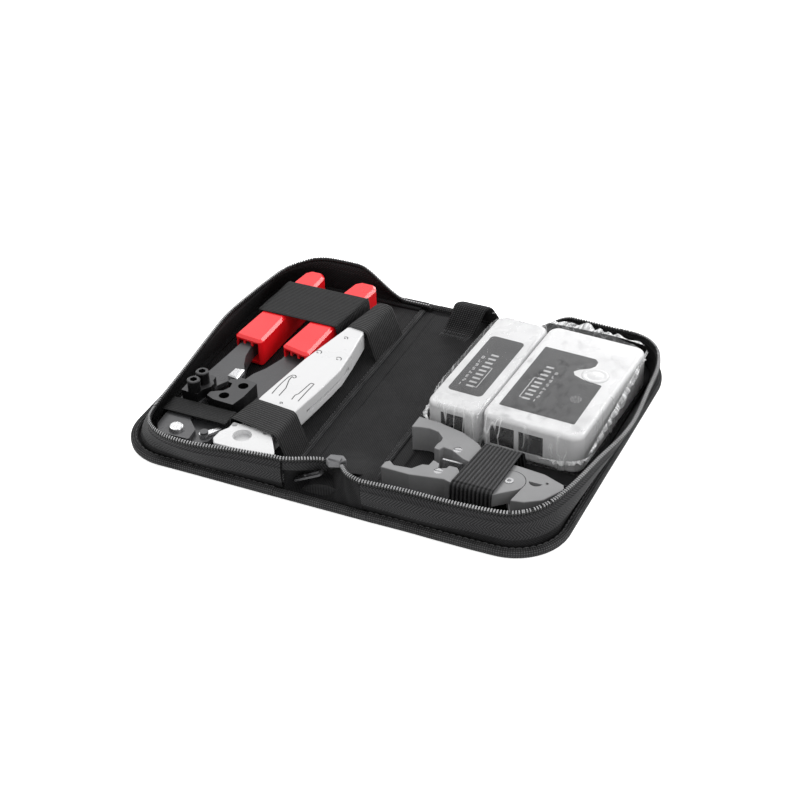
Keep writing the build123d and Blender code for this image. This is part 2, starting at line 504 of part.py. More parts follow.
def build_testers():
    lights = [LIGHT_FIRST - LIGHT_PITCH * step for step in range(9)]
    outline = [(-25, -39), (22, -39), (21.2, 3), (9, 4.2), (2.6, 6.6), (0.6, 9.6), (2.6, 12.6), (8, 16.4),
               (10.2, 19.6), (10, 24.4), (7.4, 27), (-25, 27)]
    label = make_face(Polyline(*outline, close=True))
    label = fillet(label.vertices(), 1.0)
    parts, lower = tester_unit("master", MASTER_AT, MASTER_SIZE, MASTER_TOP, (-17.5, 0.5), label, -13.4, lights)
    battery = box((-4, 2, TESTER_BOTTOM + SHELL_T + 0.2), (22.5, 46, TESTER_BOTTOM + SHELL_T + 17.2))
    door = box((-8, 0, TESTER_BOTTOM), (24, 42, TESTER_BOTTOM + SHELL_T))
    slot = box((28, 4, 15.0), (32, 18, 19.0))
    switch = box((29.3, 5.0, 15.2), (31.0, 9.0, 18.8))
    lower = lower - door - slot
    parts["top_shell"] = parts["top_shell"] - slot
    for name, shape in parts.items():
        save(placed(MASTER_AT, shape), f"master_{name}")
    save(placed(MASTER_AT, lower), "master_bottom_shell")
    save(placed(MASTER_AT, battery), "master_battery")
    save(placed(MASTER_AT, door), "master_battery_door")
    save(placed(MASTER_AT, switch), "master_switch")

    label = Pos(0, -4.0) * RectangleRounded(22.0, 62.0, 3.0)
    parts, lower = tester_unit("remote", REMOTE_AT, REMOTE_SIZE, REMOTE_TOP, (0.5,), label, 0.0, lights)
    for name, shape in parts.items():
        save(placed(REMOTE_AT, shape), f"remote_{name}")
    save(placed(REMOTE_AT, lower), "remote_bottom_shell")

    # Bag: thin clear film close round both units.
    middle = (MASTER_AT[0] + REMOTE_AT[0]) / 2 + 7.0, (MASTER_AT[1] + REMOTE_AT[1]) / 2
    width = 98.5
    outer = rounded_bar(width, 106.6, TESTER_BOTTOM - 0.6, MASTER_TOP + 0.4, 9.0)
    inner = rounded_bar(width - 2 * FILM_T, 106.0, TESTER_BOTTOM - 0.3, MASTER_TOP + 0.1, 8.7)
    save(placed(middle, outer - inner), "tester_bag")


build_case()
build_slider()
build_right_bands()
build_left_bands()
build_crimper()
build_punch_tool()
build_stripper()
build_testers()
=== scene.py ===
"""Looks for the open network tool kit: case, crimper, punch-down tool, stripper and bagged cable tester."""
from math import ceil, copysign, cos, exp, hypot, pi, radians, sin

import bpy
import numpy as np
from mathutils import Matrix, Vector, noise


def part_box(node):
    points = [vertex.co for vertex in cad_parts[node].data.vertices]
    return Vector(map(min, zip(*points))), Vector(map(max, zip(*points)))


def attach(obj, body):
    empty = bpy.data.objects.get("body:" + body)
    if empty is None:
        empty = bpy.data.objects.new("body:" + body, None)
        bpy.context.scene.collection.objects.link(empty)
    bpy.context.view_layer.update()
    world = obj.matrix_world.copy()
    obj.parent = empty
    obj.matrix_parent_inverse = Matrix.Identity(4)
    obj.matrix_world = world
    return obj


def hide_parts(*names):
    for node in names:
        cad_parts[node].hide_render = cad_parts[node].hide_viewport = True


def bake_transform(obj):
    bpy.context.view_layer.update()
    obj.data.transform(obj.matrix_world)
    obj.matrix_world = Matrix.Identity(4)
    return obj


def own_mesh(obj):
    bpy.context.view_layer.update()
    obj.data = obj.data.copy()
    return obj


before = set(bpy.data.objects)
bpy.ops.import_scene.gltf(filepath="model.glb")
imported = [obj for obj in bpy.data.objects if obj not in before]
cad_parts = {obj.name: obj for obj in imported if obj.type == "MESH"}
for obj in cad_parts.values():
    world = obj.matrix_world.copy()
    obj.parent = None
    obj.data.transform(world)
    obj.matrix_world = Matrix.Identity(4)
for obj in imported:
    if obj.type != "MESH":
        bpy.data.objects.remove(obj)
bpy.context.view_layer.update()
MM = 0.001
UP = (0.0, 0.0, 1.0)
SIDES = {"right": 1, "left": -1}


# ---------------- shader helpers
class Shader:
    """A Principled material under construction, with short ways to add the usual nodes."""

    def __init__(self, name, color, roughness, metallic=0.0, **sockets):
        self.mat = bpy.data.materials.new(name)
        self.mat.use_nodes = True
        self.tree = self.mat.node_tree
        self.bsdf = self.tree.nodes["Principled BSDF"]
        self.set(Base_Color=(*color, 1.0), Roughness=roughness, Metallic=metallic, **sockets)

    def put(self, socket, value):
        """Links a socket to another node's output, or sets its constant."""
        if hasattr(value, "is_linked"):
            self.tree.links.new(value, socket)
        else:
            socket.default_value = value

    def set(self, **sockets):
        """Values for the shader's own sockets, with underscores for the spaces in their names."""
        for key, value in sockets.items():
            self.put(self.bsdf.inputs[key.replace("_", " ")], value)

    def node(self, kind, inputs=None, **settings):
        node = self.tree.nodes.new("ShaderNode" + kind)
        for key, value in settings.items():
            setattr(node, key, value)
        for key, value in (inputs or {}).items():
            self.put(node.inputs[key], value)
        return node

    def coords(self, kind="Object", scale=(1, 1, 1)):
        where = self.node("TexCoord").outputs[kind]
        return self.node("Mapping", {"Scale": scale, "Vector": where}).outputs["Vector"]

    def split(self, vector):
        return self.node("SeparateXYZ", {0: vector}).outputs

    def upward(self):
        """How far the surface faces up, from the object's own normals."""
        return self.split(self.node("TexCoord").outputs["Normal"])[2]

    def wave(self, vector, pitch, direction, distortion):
        """Bands at the given pitch in metres; the wave texture has about three bands per unit of scale."""
        inputs = {"Vector": vector, "Scale": 1.0 / pitch / 3.0, "Distortion": distortion, "Detail Scale": 2.0}
        return self.node("TexWave", inputs, bands_direction=direction).outputs["Fac"]

    def noise(self, vector, scale, detail=3.0, rough=0.55):
        inputs = {"Vector": vector, "Scale": scale, "Detail": detail, "Roughness": rough}
        return self.node("TexNoise", inputs).outputs["Fac"]

    def math(self, kind, a, b=0.0):
        return self.node("Math", {0: a, 1: b}, operation=kind).outputs[0]

    def add(self, a, b):
        return self.math("ADD", a, b)

    def mul(self, a, b):
        return self.math("MULTIPLY", a, b)

    def ramp(self, fac, first, last):
        """A colour ramp between two (position, tone) stops; a tone is a colour or a grey."""
        node = self.node("ValToRGB", {"Fac": fac})
        for stop, (position, tone) in zip(node.color_ramp.elements, (first, last)):
            stop.position = position
            stop.color = (*(tone if isinstance(tone, tuple) else (tone, tone, tone)), 1.0)
        return node.outputs["Color"]

    def bump(self, height, distance, strength):
        """The last step: a bump of the given depth in metres. Returns the finished material."""
        node = self.node("Bump", {"Height": height, "Distance": distance, "Strength": strength})
        self.set(Normal=node.outputs["Normal"])
        return self.mat


# ---------------- materials
def grey(tone, blue):
    """A neutral tone with a little more blue."""
    return tone, tone, tone + blue


def woven(name, dark, light, pitch, kind="UV", twill=True, rough=0.82):
    """Woven cloth: crossing threads at the given pitch, with slub and dust-like tone changes."""
    sh = Shader(name, dark, rough, Sheen_Weight=0.02, Sheen_Roughness=0.5, Specular_IOR_Level=0.12)
    vec = sh.coords(kind)
    threads = sh.mul(sh.wave(vec, pitch, "DIAGONAL" if twill else "X", 0.6), sh.wave(vec, pitch, "Y", 0.6))
    slub = sh.noise(vec, 1400.0, 2.0)
    tone = sh.add(sh.mul(threads, slub), sh.mul(sh.noise(vec, 60.0), 0.35))
    sh.set(Base_Color=sh.ramp(tone, (0.12, dark), (0.75, light)))
    return sh.bump(sh.add(threads, slub), 0.00012, 0.8)


def ribbed(name, dark, light, pitch):
    """Elastic webbing: ribs along its length, each with short cross stitches of rubber and yarn."""
    sh = Shader(name, dark, 0.62, Specular_IOR_Level=0.25)
    vec = sh.coords("UV")
    groove = sh.math("PINGPONG", sh.split(vec)[1], pitch / 2)
    rib = sh.math("SUBTRACT", 1.0, sh.math("DIVIDE", groove, pitch / 2))
    yarn = sh.mul(sh.add(sh.wave(vec, 0.0007, "X", 0.8), 0.7), sh.noise(vec, 1500.0, 2.0))
    sh.set(Base_Color=sh.ramp(sh.mul(rib, yarn), (0.16, dark), (0.62, light)))
    return sh.bump(sh.add(rib, sh.mul(yarn, 0.3)), 0.0002, 0.8)


def herringbone(name, dark, light, pitch):
    """Zip tape: twill that changes direction in narrow columns."""
    sh = Shader(name, dark, 0.75, Sheen_Weight=0.03, Sheen_Roughness=0.45, Specular_IOR_Level=0.2)
    vec = sh.coords("UV")
    along, across = sh.split(vec)[:2]
    slant = sh.add(along, sh.math("PINGPONG", across, pitch * 2.2))
    teeth = sh.math("DIVIDE", sh.math("PINGPONG", slant, pitch / 2), pitch / 2)
    sh.set(Base_Color=sh.ramp(sh.mul(teeth, sh.noise(vec, 1800.0, 2.0)), (0.08, dark), (0.6, light)))
    return sh.bump(teeth, 0.0001, 0.7)


def plastic(name, color, rough, speck=0.02, coat=0.0):
    """Moulded plastic: slightly mottled in tone and gloss, with a fine grain."""
    sh = Shader(name, color, rough, Coat_Weight=coat, Coat_Roughness=0.08)
    vec = sh.coords()
    mottle = sh.noise(vec, 45.0, 4.0)
    low = tuple(max(0.0, c * (1 - speck * 2)) for c in color)
    high = tuple(min(1.0, c * (1 + speck)) for c in color)
    sh.set(Base_Color=sh.ramp(mottle, (0.3, low), (0.7, high)),
           Roughness=sh.ramp(mottle, (0.3, rough * 0.85), (0.75, min(1.0, rough * 1.2))))
    return sh.bump(sh.noise(vec, 2500.0, 2.0), 0.00002, 0.5)


def metal(name, color, rough, metallic, scratch, stretch=(1, 1, 1)):
    """Metal or metallic paint: streaked in tone, cloudy in gloss."""
    sh = Shader(name, color, rough, metallic)
    streak = sh.noise(sh.coords("Object", stretch), 900.0, 4.0, 0.7)
    cloud = sh.noise(sh.coords(), 70.0)
    low = tuple(c * (1 - scratch) for c in color)
    high = tuple(min(1.0, c * (1 + scratch)) for c in color)
    sh.set(Base_Color=sh.ramp(streak, (0.3, low), (0.7, high)),
           Roughness=sh.ramp(cloud, (0.25, rough * 0.7), (0.8, min(1.0, rough * 1.4))))
    return sh.bump(streak, 0.00002, 0.4)


def metal_with_painted_top_highlight(name, side, top):
    """Blackened steel whose upward faces are painted lighter: a painted highlight standing for the overhead
    light on them.
    """
    sh = Shader(name, side, 0.42, 0.55)
    grain = sh.noise(sh.coords(), 1500.0)
    # painted highlight: the more a face points up, the nearer its colour comes to the light top tone; grain
    # breaks up its edge
    up = sh.add(sh.upward(), sh.mul(grain, 0.12))
    sh.set(Base_Color=sh.ramp(up, (0.55, side), (0.98, top)))
    return sh.bump(grain, 0.00003, 0.6)


def film(name):
    """Clear polythene: almost invisible face on and sharply creased down its sides; its white shows as
    painted highlights along the crease ridges and painted reflection on the side walls and at grazing angles.
    """
    sh = Shader(name, (0.95, 0.955, 0.96), 0.09, Specular_IOR_Level=0.8)
    vec = sh.coords("Object", (1, 1, 0.14))
    crease = sh.noise(vec, 150.0, 1.5, 0.45)
    valley = sh.mul(sh.math("ABSOLUTE", sh.math("SUBTRACT", crease, 0.5)), 20.0)
    ridge = sh.math("MAXIMUM", sh.math("SUBTRACT", 1.0, valley))
    side = sh.ramp(sh.upward(), (0.55, 1.0), (0.97, 0.0))
    # painted reflection: a little more white where the film is seen edge on
    edge = sh.mul(sh.node("LayerWeight", {"Blend": 0.3}).outputs["Facing"], 0.05)
    patch = sh.ramp(sh.noise(vec, 36.0, 2.0), (0.38, 0.0), (0.58, 0.75))
    # painted highlights in white along the crease ridges of the side walls, and a painted reflection over the
    # whole side walls
    crease_highlight = sh.mul(sh.mul(ridge, patch), side)
    side_reflection = sh.mul(side, 0.07)
    sh.set(Alpha=sh.add(sh.add(sh.add(edge, crease_highlight), side_reflection), 0.008))
    return sh.bump(crease, 0.0010, 0.7)


def fold_film(name):
    """The same polythene where it is bunched up: painted highlights in white along its ridges, nearly clear
    between them.
    """
    sh = Shader(name, (0.95, 0.955, 0.96), 0.12, Specular_IOR_Level=0.8)
    streak = sh.noise(sh.coords("UV", (1.0, 0.16, 1)), 420.0, 2.0, 0.5)
    patch = sh.noise(sh.coords("UV"), 90.0, 2.0)
    # painted highlights: the white shows along the streaks, in patches
    sh.set(Alpha=sh.mul(sh.ramp(streak, (0.36, 0.16), (0.68, 0.85)),
                        sh.ramp(patch, (0.30, 0.45), (0.60, 0.95))))
    return sh.bump(streak, 0.0008, 0.8)


RIB_PITCH = {"rib_fine": 0.0015, "rib_mid": 0.0017, "rib_wide": 0.0023, "binding": 0.0021, "case": 0.003}
CLOTH = grey(0.0035, 0.0003), grey(0.024, 0.001), 0.0009
M = {
    "case": woven("case_cloth", *CLOTH),
    "panel": woven("panel_cloth", *CLOTH, kind="Object"),
    "binding": woven("binding_cloth", grey(0.004, 0.0003), grey(0.095, 0.002), 0.0014, twill=False),
    "lining": woven("lining_twill", grey(0.006, 0.0005), grey(0.032, 0.001), 0.0009, rough=0.66),
    "wall": woven("wall_cloth", grey(0.0035, 0.0003), grey(0.026, 0.001), 0.0009),
    "tape": herringbone("zip_tape", grey(0.003, 0.0003), grey(0.042, 0.002), 0.0019),
    "elastic": woven("elastic_cloth", grey(0.004, 0.0003), grey(0.026, 0.001), 0.0008, twill=False),
    "rib_fine": ribbed("fine_elastic", grey(0.003, 0.0002), grey(0.022, 0.001), RIB_PITCH["rib_fine"]),
    "rib_mid": ribbed("banded_elastic", grey(0.0025, 0.0002), grey(0.045, 0.001), RIB_PITCH["rib_mid"]),
    "rib_wide": ribbed("corded_elastic", grey(0.0015, 0.0002), grey(0.065, 0.002), RIB_PITCH["rib_wide"]),
    "coil_core": plastic("coil_cord", grey(0.006, 0.0005), 0.5, 0.1),
    # light grey only for the tops of the coil's loops: a painted highlight on the dark nylon
    "coil": plastic("zip_coil_painted_highlight", grey(0.34, 0.005), 0.2, 0.12),
    "thread": plastic("sewing_thread", grey(0.05, 0.002), 0.5, 0.1),
    "slider": metal("slider_finish", grey(0.14, 0.005), 0.42, 0.2, 0.12),
    "pull": metal("pull_finish", grey(0.045, 0.002), 0.22, 0.5, 0.3),
    "arm": metal("arm_paint", grey(0.062, 0.003), 0.34, 0.2, 0.08),
    # dark steel, with a painted highlight on its upward faces
    "die": metal_with_painted_top_highlight("die_steel", grey(0.006, 0.0005), grey(0.05, 0.002)),
    "steel": metal("bright_steel", grey(0.62, 0.01), 0.22, 0.9, 0.15, (1, 8, 1)),
    "red": plastic("red_grip", (0.86, 0.008, 0.014), 0.3, 0.03, 0.6),
    "white": plastic("white_abs", grey(0.64, 0.005), 0.28, 0.01, 0.12),
    "grey": plastic("grey_plastic", grey(0.22, 0.004), 0.34, 0.04),
    "label": plastic("label_print", grey(0.042, 0.002), 0.45, 0.03),
    "lamp": plastic("lamp_window", grey(0.42, 0.005), 0.35, 0.03),
    "print": plastic("label_marks", grey(0.5, 0.005), 0.4, 0.03),
    # dark grey lines for the punch tool's moulded figures, which are the shell's own white plastic: painted
    # shade along their relief
    "ink": plastic("moulded_line_painted_shade", grey(0.04, 0.002), 0.5, 0.05),
    "black": plastic("black_plastic", grey(0.008, 0.001), 0.35, 0.1),
    "board": plastic("circuit_board", (0.02, 0.12, 0.05), 0.4, 0.1),
    "battery": plastic("battery_case", grey(0.05, 0.005), 0.3, 0.1),
    "film": film("clear_film"),
    "folds": fold_film("bunched_film"),
}
NODE_MATERIALS = {
    "panel": ["cover_panel_left", "cover_panel_right", "spine_panel"],
    "slider": ["zip_slider"], "pull": ["zip_pull"],
    "arm": ["crimper_left_arm", "crimper_right_arm"],
    "die": ["crimper_left_die", "crimper_right_die", "crimper_die_bolts"],
    "steel": ["crimper_bolt_and_spring", "crimper_cutter_blade", "crimper_latch", "punch_pins_and_screws",
              "punch_spring", "punch_knife", "punch_hook", "stripper_pin_and_screw", "stripper_blade",
              "stripper_near_screw"],
    "red": ["crimper_left_grip", "crimper_right_grip"],
    "white": ["punch_top_shell", "punch_bottom_shell", "punch_head", "master_top_shell",
              "master_bottom_shell", "master_battery_door", "remote_top_shell", "remote_bottom_shell"],
    "grey": ["stripper_far_jaw", "stripper_near_jaw"],
    "label": ["master_label", "remote_label"],
    "lamp": ["master_light_windows", "remote_light_windows"],
    "black": ["master_sockets", "remote_sockets", "master_switch"],
    "battery": ["master_battery"],
    "board": ["master_circuit_board", "remote_circuit_board"],
}


def dress_cad_nodes():
    for key, names in NODE_MATERIALS.items():
        for name in names:
            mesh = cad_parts[name].data
            mesh.materials.clear()
            mesh.materials.append(M[key])


# ---------------- curves
def lengths(points):
    """Distance along a polyline at each of its points."""
    steps = np.linalg.norm(np.diff(np.asarray(points, float), axis=0), axis=1)
    return np.concatenate([[0.0], np.cumsum(steps)])


def sample(points, along, at):
    """Points of a polyline at the distances asked for; along holds its own points' distances."""
    return np.stack([np.interp(at, along, column) for column in np.asarray(points, float).T], -1)


def resample(points, step):
    """Evenly spaced points along a polyline."""
    along = lengths(points)
    return sample(points, along, np.linspace(0, along[-1], max(2, int(round(along[-1] / step)) + 1)))


def smooth_curve(points, step):
    """A Catmull-Rom curve through the points, evenly spaced."""
    pts = np.asarray(points, float)
    pts = np.vstack([2 * pts[0] - pts[1], pts, 2 * pts[-1] - pts[-2]])
    out = []
    for i in range(1, len(pts) - 2):
        p0, p1, p2, p3 = pts[i - 1:i + 3]
        for t in np.linspace(0, 1, 12, endpoint=False):
            out.append(0.5 * (2 * p1 + (p2 - p0) * t + (2 * p0 - 5 * p1 + 4 * p2 - p3) * t * t
                + (3 * p1 - p0 - 3 * p2 + p3) * t ** 3))
    return resample(out + [pts[-2]], step)


def unit(vectors):
    vectors = np.asarray(vectors, float)
    return vectors / np.maximum(1e-9, np.linalg.norm(vectors, axis=-1, keepdims=True))


def tangents(points):
    return unit(np.gradient(np.asarray(points, float), axis=0))


def wobble(x, y, z, scale, size):
    return size * noise.noise(Vector((x * scale, y * scale, z * scale)))


def clamp(value):
    return max(0.0, min(1.0, value))


def turn(count):
    """Angles of a full turn."""
    return [2 * pi * k / count for k in range(count)]


# ---------------- mesh helpers
def piece(name, verts, faces, mats, uvs=None, face_mats=None, smooth=True, normals=None, flat_caps=0):
    """A mesh object from points, faces facing out, and one UV per vertex in metres."""
    pts = np.asarray([tuple(v) for v in verts], float)
    fans = np.array([(f[0], f[k], f[k + 1]) for f in faces for k in range(1, len(f) - 1)])
    a, b, c = (pts[fans[:, k]] - pts.mean(0) for k in range(3))
    if np.einsum("ij,ij->i", a, np.cross(b, c)).sum() < 0:      # inside out
        faces = [f[::-1] for f in faces]
    mesh = bpy.data.meshes.new(name)
    mesh.from_pydata(pts.tolist(), [], faces)
    for key in mats if isinstance(mats, list) else [mats]:
        mesh.materials.append(M[key])
    if face_mats is not None:
        mesh.polygons.foreach_set("material_index", face_mats)
    if uvs is not None:
        layer = mesh.uv_layers.new(name="UVMap")
        loops = np.zeros(len(mesh.loops), np.int32)
        mesh.loops.foreach_get("vertex_index", loops)
        layer.data.foreach_set("uv", np.asarray(uvs, np.float32)[loops].ravel())
    count = len(mesh.polygons)
    mesh.polygons.foreach_set("use_smooth", [smooth and k < count - flat_caps for k in range(count)])
    mesh.update()
    if normals is not None:
        first = mesh.polygons[0]
        facing = 1 if np.dot(first.normal, normals[first.vertices[0]]) > 0 else -1
        mesh.normals_split_custom_set_from_vertices([tuple(facing * n) for n in normals])
    obj = bpy.data.objects.new(name, mesh)
    bpy.context.scene.collection.objects.link(obj)
    return obj


def settle(obj, body=None, node=None):
    """Says which body a piece rides on and which CAD node it is shown for."""
    if body:
        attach(obj, body)
    if node:
        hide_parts(node)
    return obj


def grid_faces(rows, cols, closed=False, start=0):
    """Quads over a rows x cols sheet of points, or round a tube."""
    faces = []
    for i in range(rows - 1):
        for j in range(cols if closed else cols - 1):
            a, b = start + i * cols + j, start + i * cols + (j + 1) % cols
            faces.append((a, b, b + cols, a + cols))
    return faces


def tube_faces(rows, cols, caps=True, start=0):
    """Quads round a tube and, last, its two end caps."""
    faces = grid_faces(rows, cols, True, start)
    if caps:
        faces.append(tuple(start + k for k in range(cols - 1, -1, -1)))
        faces.append(tuple(start + (rows - 1) * cols + k for k in range(cols)))
    return faces


def tube(name, rings, mat, u, v, caps=True):
    """A closed skin through rings of points; u is the length along, v the length round."""
    rings = np.asarray(rings, float)
    rows, cols = rings.shape[:2]
    uvs = np.stack([np.repeat(u, cols), np.tile(v, rows)], -1)
    return piece(name, rings.reshape(-1, 3), tube_faces(rows, cols, caps), mat, uvs)


def both_faces(width, count):
    """Distances across a strip whose rings run over its top and back along its underside."""
    return np.concatenate([np.linspace(0, width, count), np.linspace(width, 0, count)])


def add_tube(verts, faces, rings):
    """Adds one capped tube to the lists of a mesh that holds many."""
    rings = np.asarray(rings)
    faces.extend(tube_faces(*rings.shape[:2], start=len(verts)))
    verts.extend(rings.reshape(-1, 3).tolist())


def band(name, path, section, mat, body, node=None):
    """A strip of constant section along a path; section is (across, up) pairs, across to the right."""
    path, section = np.asarray(path, float), np.asarray(section, float)
    tangent = tangents(path)
    across = unit(np.cross(tangent, UP))
    up = np.cross(across, tangent)
    rings = path[:, None] + across[:, None] * section[:, :1] + up[:, None] * section[:, 1:]
    v = lengths(np.vstack([rings[0], rings[0][:1]]))[:-1]
    return settle(tube(name, rings, mat, lengths(path), v), body, node)


def rounded_section(width, height, r):
    """A closed section with rounded upper corners, seen along the path."""
    w = width / 2
    pts = [(-w, 0.0)]
    for centre, angles in ((-w + r, (180, 135, 90)), (w - r, (90, 45, 0))):
        pts += [(centre + r * cos(a), height - r + r * sin(a)) for a in map(radians, angles)]
        if centre < 0:
            pts.append((0.0, height + r * 0.25))
    return (pts + [(w, 0.0)])[::-1]


def stitch_row(name, path, body, length=0.0022, gap=0.0011, radius=0.00022):
    """Short raised stitches along a path that lies on cloth."""
    path = resample(path, 0.0006)
    along = lengths(path)
    verts, faces = [], []
    for start in np.arange(0.0, along[-1] - length, length + gap):
        rings = []
        for f in np.linspace(0, 1, 5):
            at = start + length * f
            p, ahead = sample(path, along, at), sample(path, along, min(at + 0.0004, along[-1]))
            side = unit(np.cross(unit(ahead - p), UP))
            lift = radius * 1.6 * sin(pi * f)
            rings.append([p + side * radius * cos(a) + np.array(UP) * (lift + radius * sin(a))
                for a in turn(5)])
        add_tube(verts, faces, rings)
    settle(piece(name, verts, faces, "thread", np.zeros((len(verts), 2))), body)


# ---------------- sizes from the frame
OUT_X, OUT_Y, BIND_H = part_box("binding_right")[1]
FOLD_X = 0.025
FOLD_HALF = 0.004       # half the width of the soft strip at each fold line
LINING_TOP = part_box("lining_right")[1].z
CORNER = 0.032
WALL_X, WALL_FRONT, WALL_BACK, WALL_R = 0.131, -0.1015, 0.1005, 0.026      # foot of the right half's wall
WALL_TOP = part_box("zip_teeth_right")[1].z
TESTER_YAW = radians(-2.578)


def u_line(side_x, front, back, radius, start, step):
    """Points and outward normals along the front, the side and the back of the right half."""
    corners = [(side_x - radius + radius * cos(a), y + radius * sin(a))
        for y, first in ((front + radius, -90), (back - radius, 0))
        for a in np.radians(np.linspace(first, first + 90, 14))]
    line = resample([(start, front)] + corners + [(start, back)], step)
    tangent = tangents(line)
    return line, np.stack([tangent[:, 1], -tangent[:, 0]], -1)


# ---------------- camera, floor and light
CAM_AZ, CAM_EL, CAM_ROLL = radians(26.291), radians(35.114), radians(-2.177)
CAM_TARGET = Vector((-0.003549, 0.007007, 0.0))
CAM_DISTANCE = 1.14542


def make_camera():
    back = Vector((sin(CAM_AZ) * cos(CAM_EL), -cos(CAM_AZ) * cos(CAM_EL), sin(CAM_EL)))
    right = (-back).cross(Vector(UP)).normalized()
    up = right.cross(-back)
    axes = (right * cos(CAM_ROLL) + up * sin(CAM_ROLL), up * cos(CAM_ROLL) - right * sin(CAM_ROLL), back)
    data = bpy.data.cameras.new("camera")
    data.lens, data.sensor_width = 85.5, 36.0
    data.clip_start, data.clip_end = 0.05, 20.0
    cam = bpy.data.objects.new("camera", data)
    place = Matrix.Translation(CAM_TARGET + back * CAM_DISTANCE)
    cam.matrix_world = place @ Matrix(axes).transposed().to_4x4()
    bpy.context.scene.collection.objects.link(cam)
    bpy.context.scene.camera = cam


def area_light(name, at, size, power):
    """A rectangular lamp that points at the middle of the case."""
    data = bpy.data.lights.new(name, "AREA")
    data.shape, data.size, data.size_y, data.energy = "RECTANGLE", size[0], size[1], power
    lamp = bpy.data.objects.new(name, data)
    lamp.location = at
    lamp.rotation_euler = (-Vector(at)).to_track_quat("-Z", "Y").to_euler()
    bpy.context.scene.collection.objects.link(lamp)


def make_studio():
    """White floor, white surroundings and three lamps."""
    white = (1, 1, 1, 1)
    sh = Shader("studio_floor", (0.93, 0.93, 0.93), 0.7, Emission_Strength=0.7, Emission_Color=white)
    sh.set(Base_Color=sh.ramp(sh.noise(sh.coords(), 3.0, 2.0), (0.3, 0.925), (0.7, 0.94)))
    mesh = bpy.data.meshes.new("studio_floor")
    mesh.from_pydata([(8 * cos(a), 8 * sin(a), 0) for a in turn(48)], [], [tuple(range(48))])
    mesh.materials.append(sh.mat)
    floor = bpy.data.objects.new("studio_floor", mesh)
    floor.location = (0, 0, -0.0005)
    bpy.context.scene.collection.objects.link(floor)
    world = bpy.data.worlds.new("studio")
    world.use_nodes = True
    sky = world.node_tree.nodes["Background"].inputs
    sky["Color"].default_value, sky["Strength"].default_value = white, 0.85
    bpy.context.scene.world = world
    bpy.context.scene.view_settings.view_transform = "Standard"
    area_light("key", (-0.55, 0.35, 0.95), (0.6, 0.6), 5.0)
    area_light("back_strip", (0.25, 1.0, 0.55), (1.2, 0.35), 6.0)
    area_light("right_fill", (0.95, -0.25, 0.6), (0.5, 0.8), 2.5)


# ---------------- case walls and zip
WALL_TOPS = {       # the zip line in mm, front end to back end, read along each half
    "left": [(-28, -103), (-53, -106), (-76, -110), (-94, -110), (-105, -106.6), (-113, -98.5), (-117, -82),
             (-120, -48.5), (-125, 0), (-126, 20), (-124, 42), (-122, 59), (-119, 76), (-113.5, 89),
             (-102, 100), (-90, 101.5), (-76, 101.5), (-60, 100)],
    "right": [(19, -103.3), (26, -104.7), (48.4, -103.0), (77.8, -102.6), (100, -101), (114, -97.5),
              (124, -88.4), (130.5, -74), (134.5, -58), (139, -32), (143, -13), (144.5, 7), (142, 38),
              (140, 60), (137, 72), (132, 82), (123, 90), (112, 92.5), (99, 93), (88, 93.5), (76, 94),
              (60, 93.5)],
}
TAPE_RIDGE = 0.80       # share of the wall's height where the tape's edge stands out
WALL_LEVELS = (0.0, 0.12, 0.3, 0.48, 0.64, 0.76, TAPE_RIDGE, 0.82, 0.91, 1.0)
WALL_THICK, WALL_BULGE, RIDGE_OUT = 0.0013, 0.0016, 0.0005
COIL_H, COIL_PITCH = 0.0031, 0.0017


def wall_profile(side):
    """One row per station of a half's wall: foot, outward normal, lean of the top and height of the top."""
    sign = SIDES[side]
    base, normal = u_line(WALL_X, WALL_FRONT, WALL_BACK, WALL_R, FOLD_X, 0.0015)
    tops = smooth_curve([(x * sign * MM, y * MM) for x, y in WALL_TOPS[side]], 0.001)
    lean = []
    for b, n in zip(base, normal):
        rel = tops - b
        across = np.abs(rel[:, 0] * n[1] - rel[:, 1] * n[0])
        lean.append(rel[np.argmin(np.where(np.abs(rel @ n) < 0.024, across, 9.0))] @ n)
    kernel = np.hanning(15)
    lean = np.convolve(np.pad(lean, 7, mode="edge"), kernel / kernel.sum(), "valid")
    rows = []
    for b, n, d in zip(base, normal, lean):
        top = WALL_TOP - COIL_H
        if b[1] > 0 and b[0] < 0.076:       # the back wall sinks towards the spine
            t = clamp((b[0] - 0.040) / 0.036)
            top = 0.0050 + (top - 0.0050) * (t * t * (3 - 2 * t))
            d *= t
        rows.append((b[0] * sign, b[1], n[0] * sign, n[1], d, top))
    return np.array(rows)


WALLS = {side: wall_profile(side) for side in SIDES}


def wall_spans(rows, sign):
    """Index ranges: front run, corner slices, side run, corner slices, back run."""
    x, y = rows[:, 0] * sign, rows[:, 1]
    front_corner = np.argmax(x > WALL_X - WALL_R), np.argmax(y > WALL_FRONT + WALL_R)
    back_corner = np.argmax(y > WALL_BACK - WALL_R), len(x) - 1 - np.argmax(x[::-1] > WALL_X - WALL_R)
    cuts = [0, *np.linspace(*front_corner, 7).astype(int), *np.linspace(*back_corner, 7).astype(int),
        len(x) - 1]
    return [(a, b) for a, b in zip(cuts, cuts[1:]) if b > a]


def coil_foot(row):
    """Where the zip coil stands on a station of the wall, and its outward direction."""
    x, y, nx, ny, lean, top = row
    return x + nx * (lean - 0.0006), y + ny * (lean - 0.0006), top, nx, ny


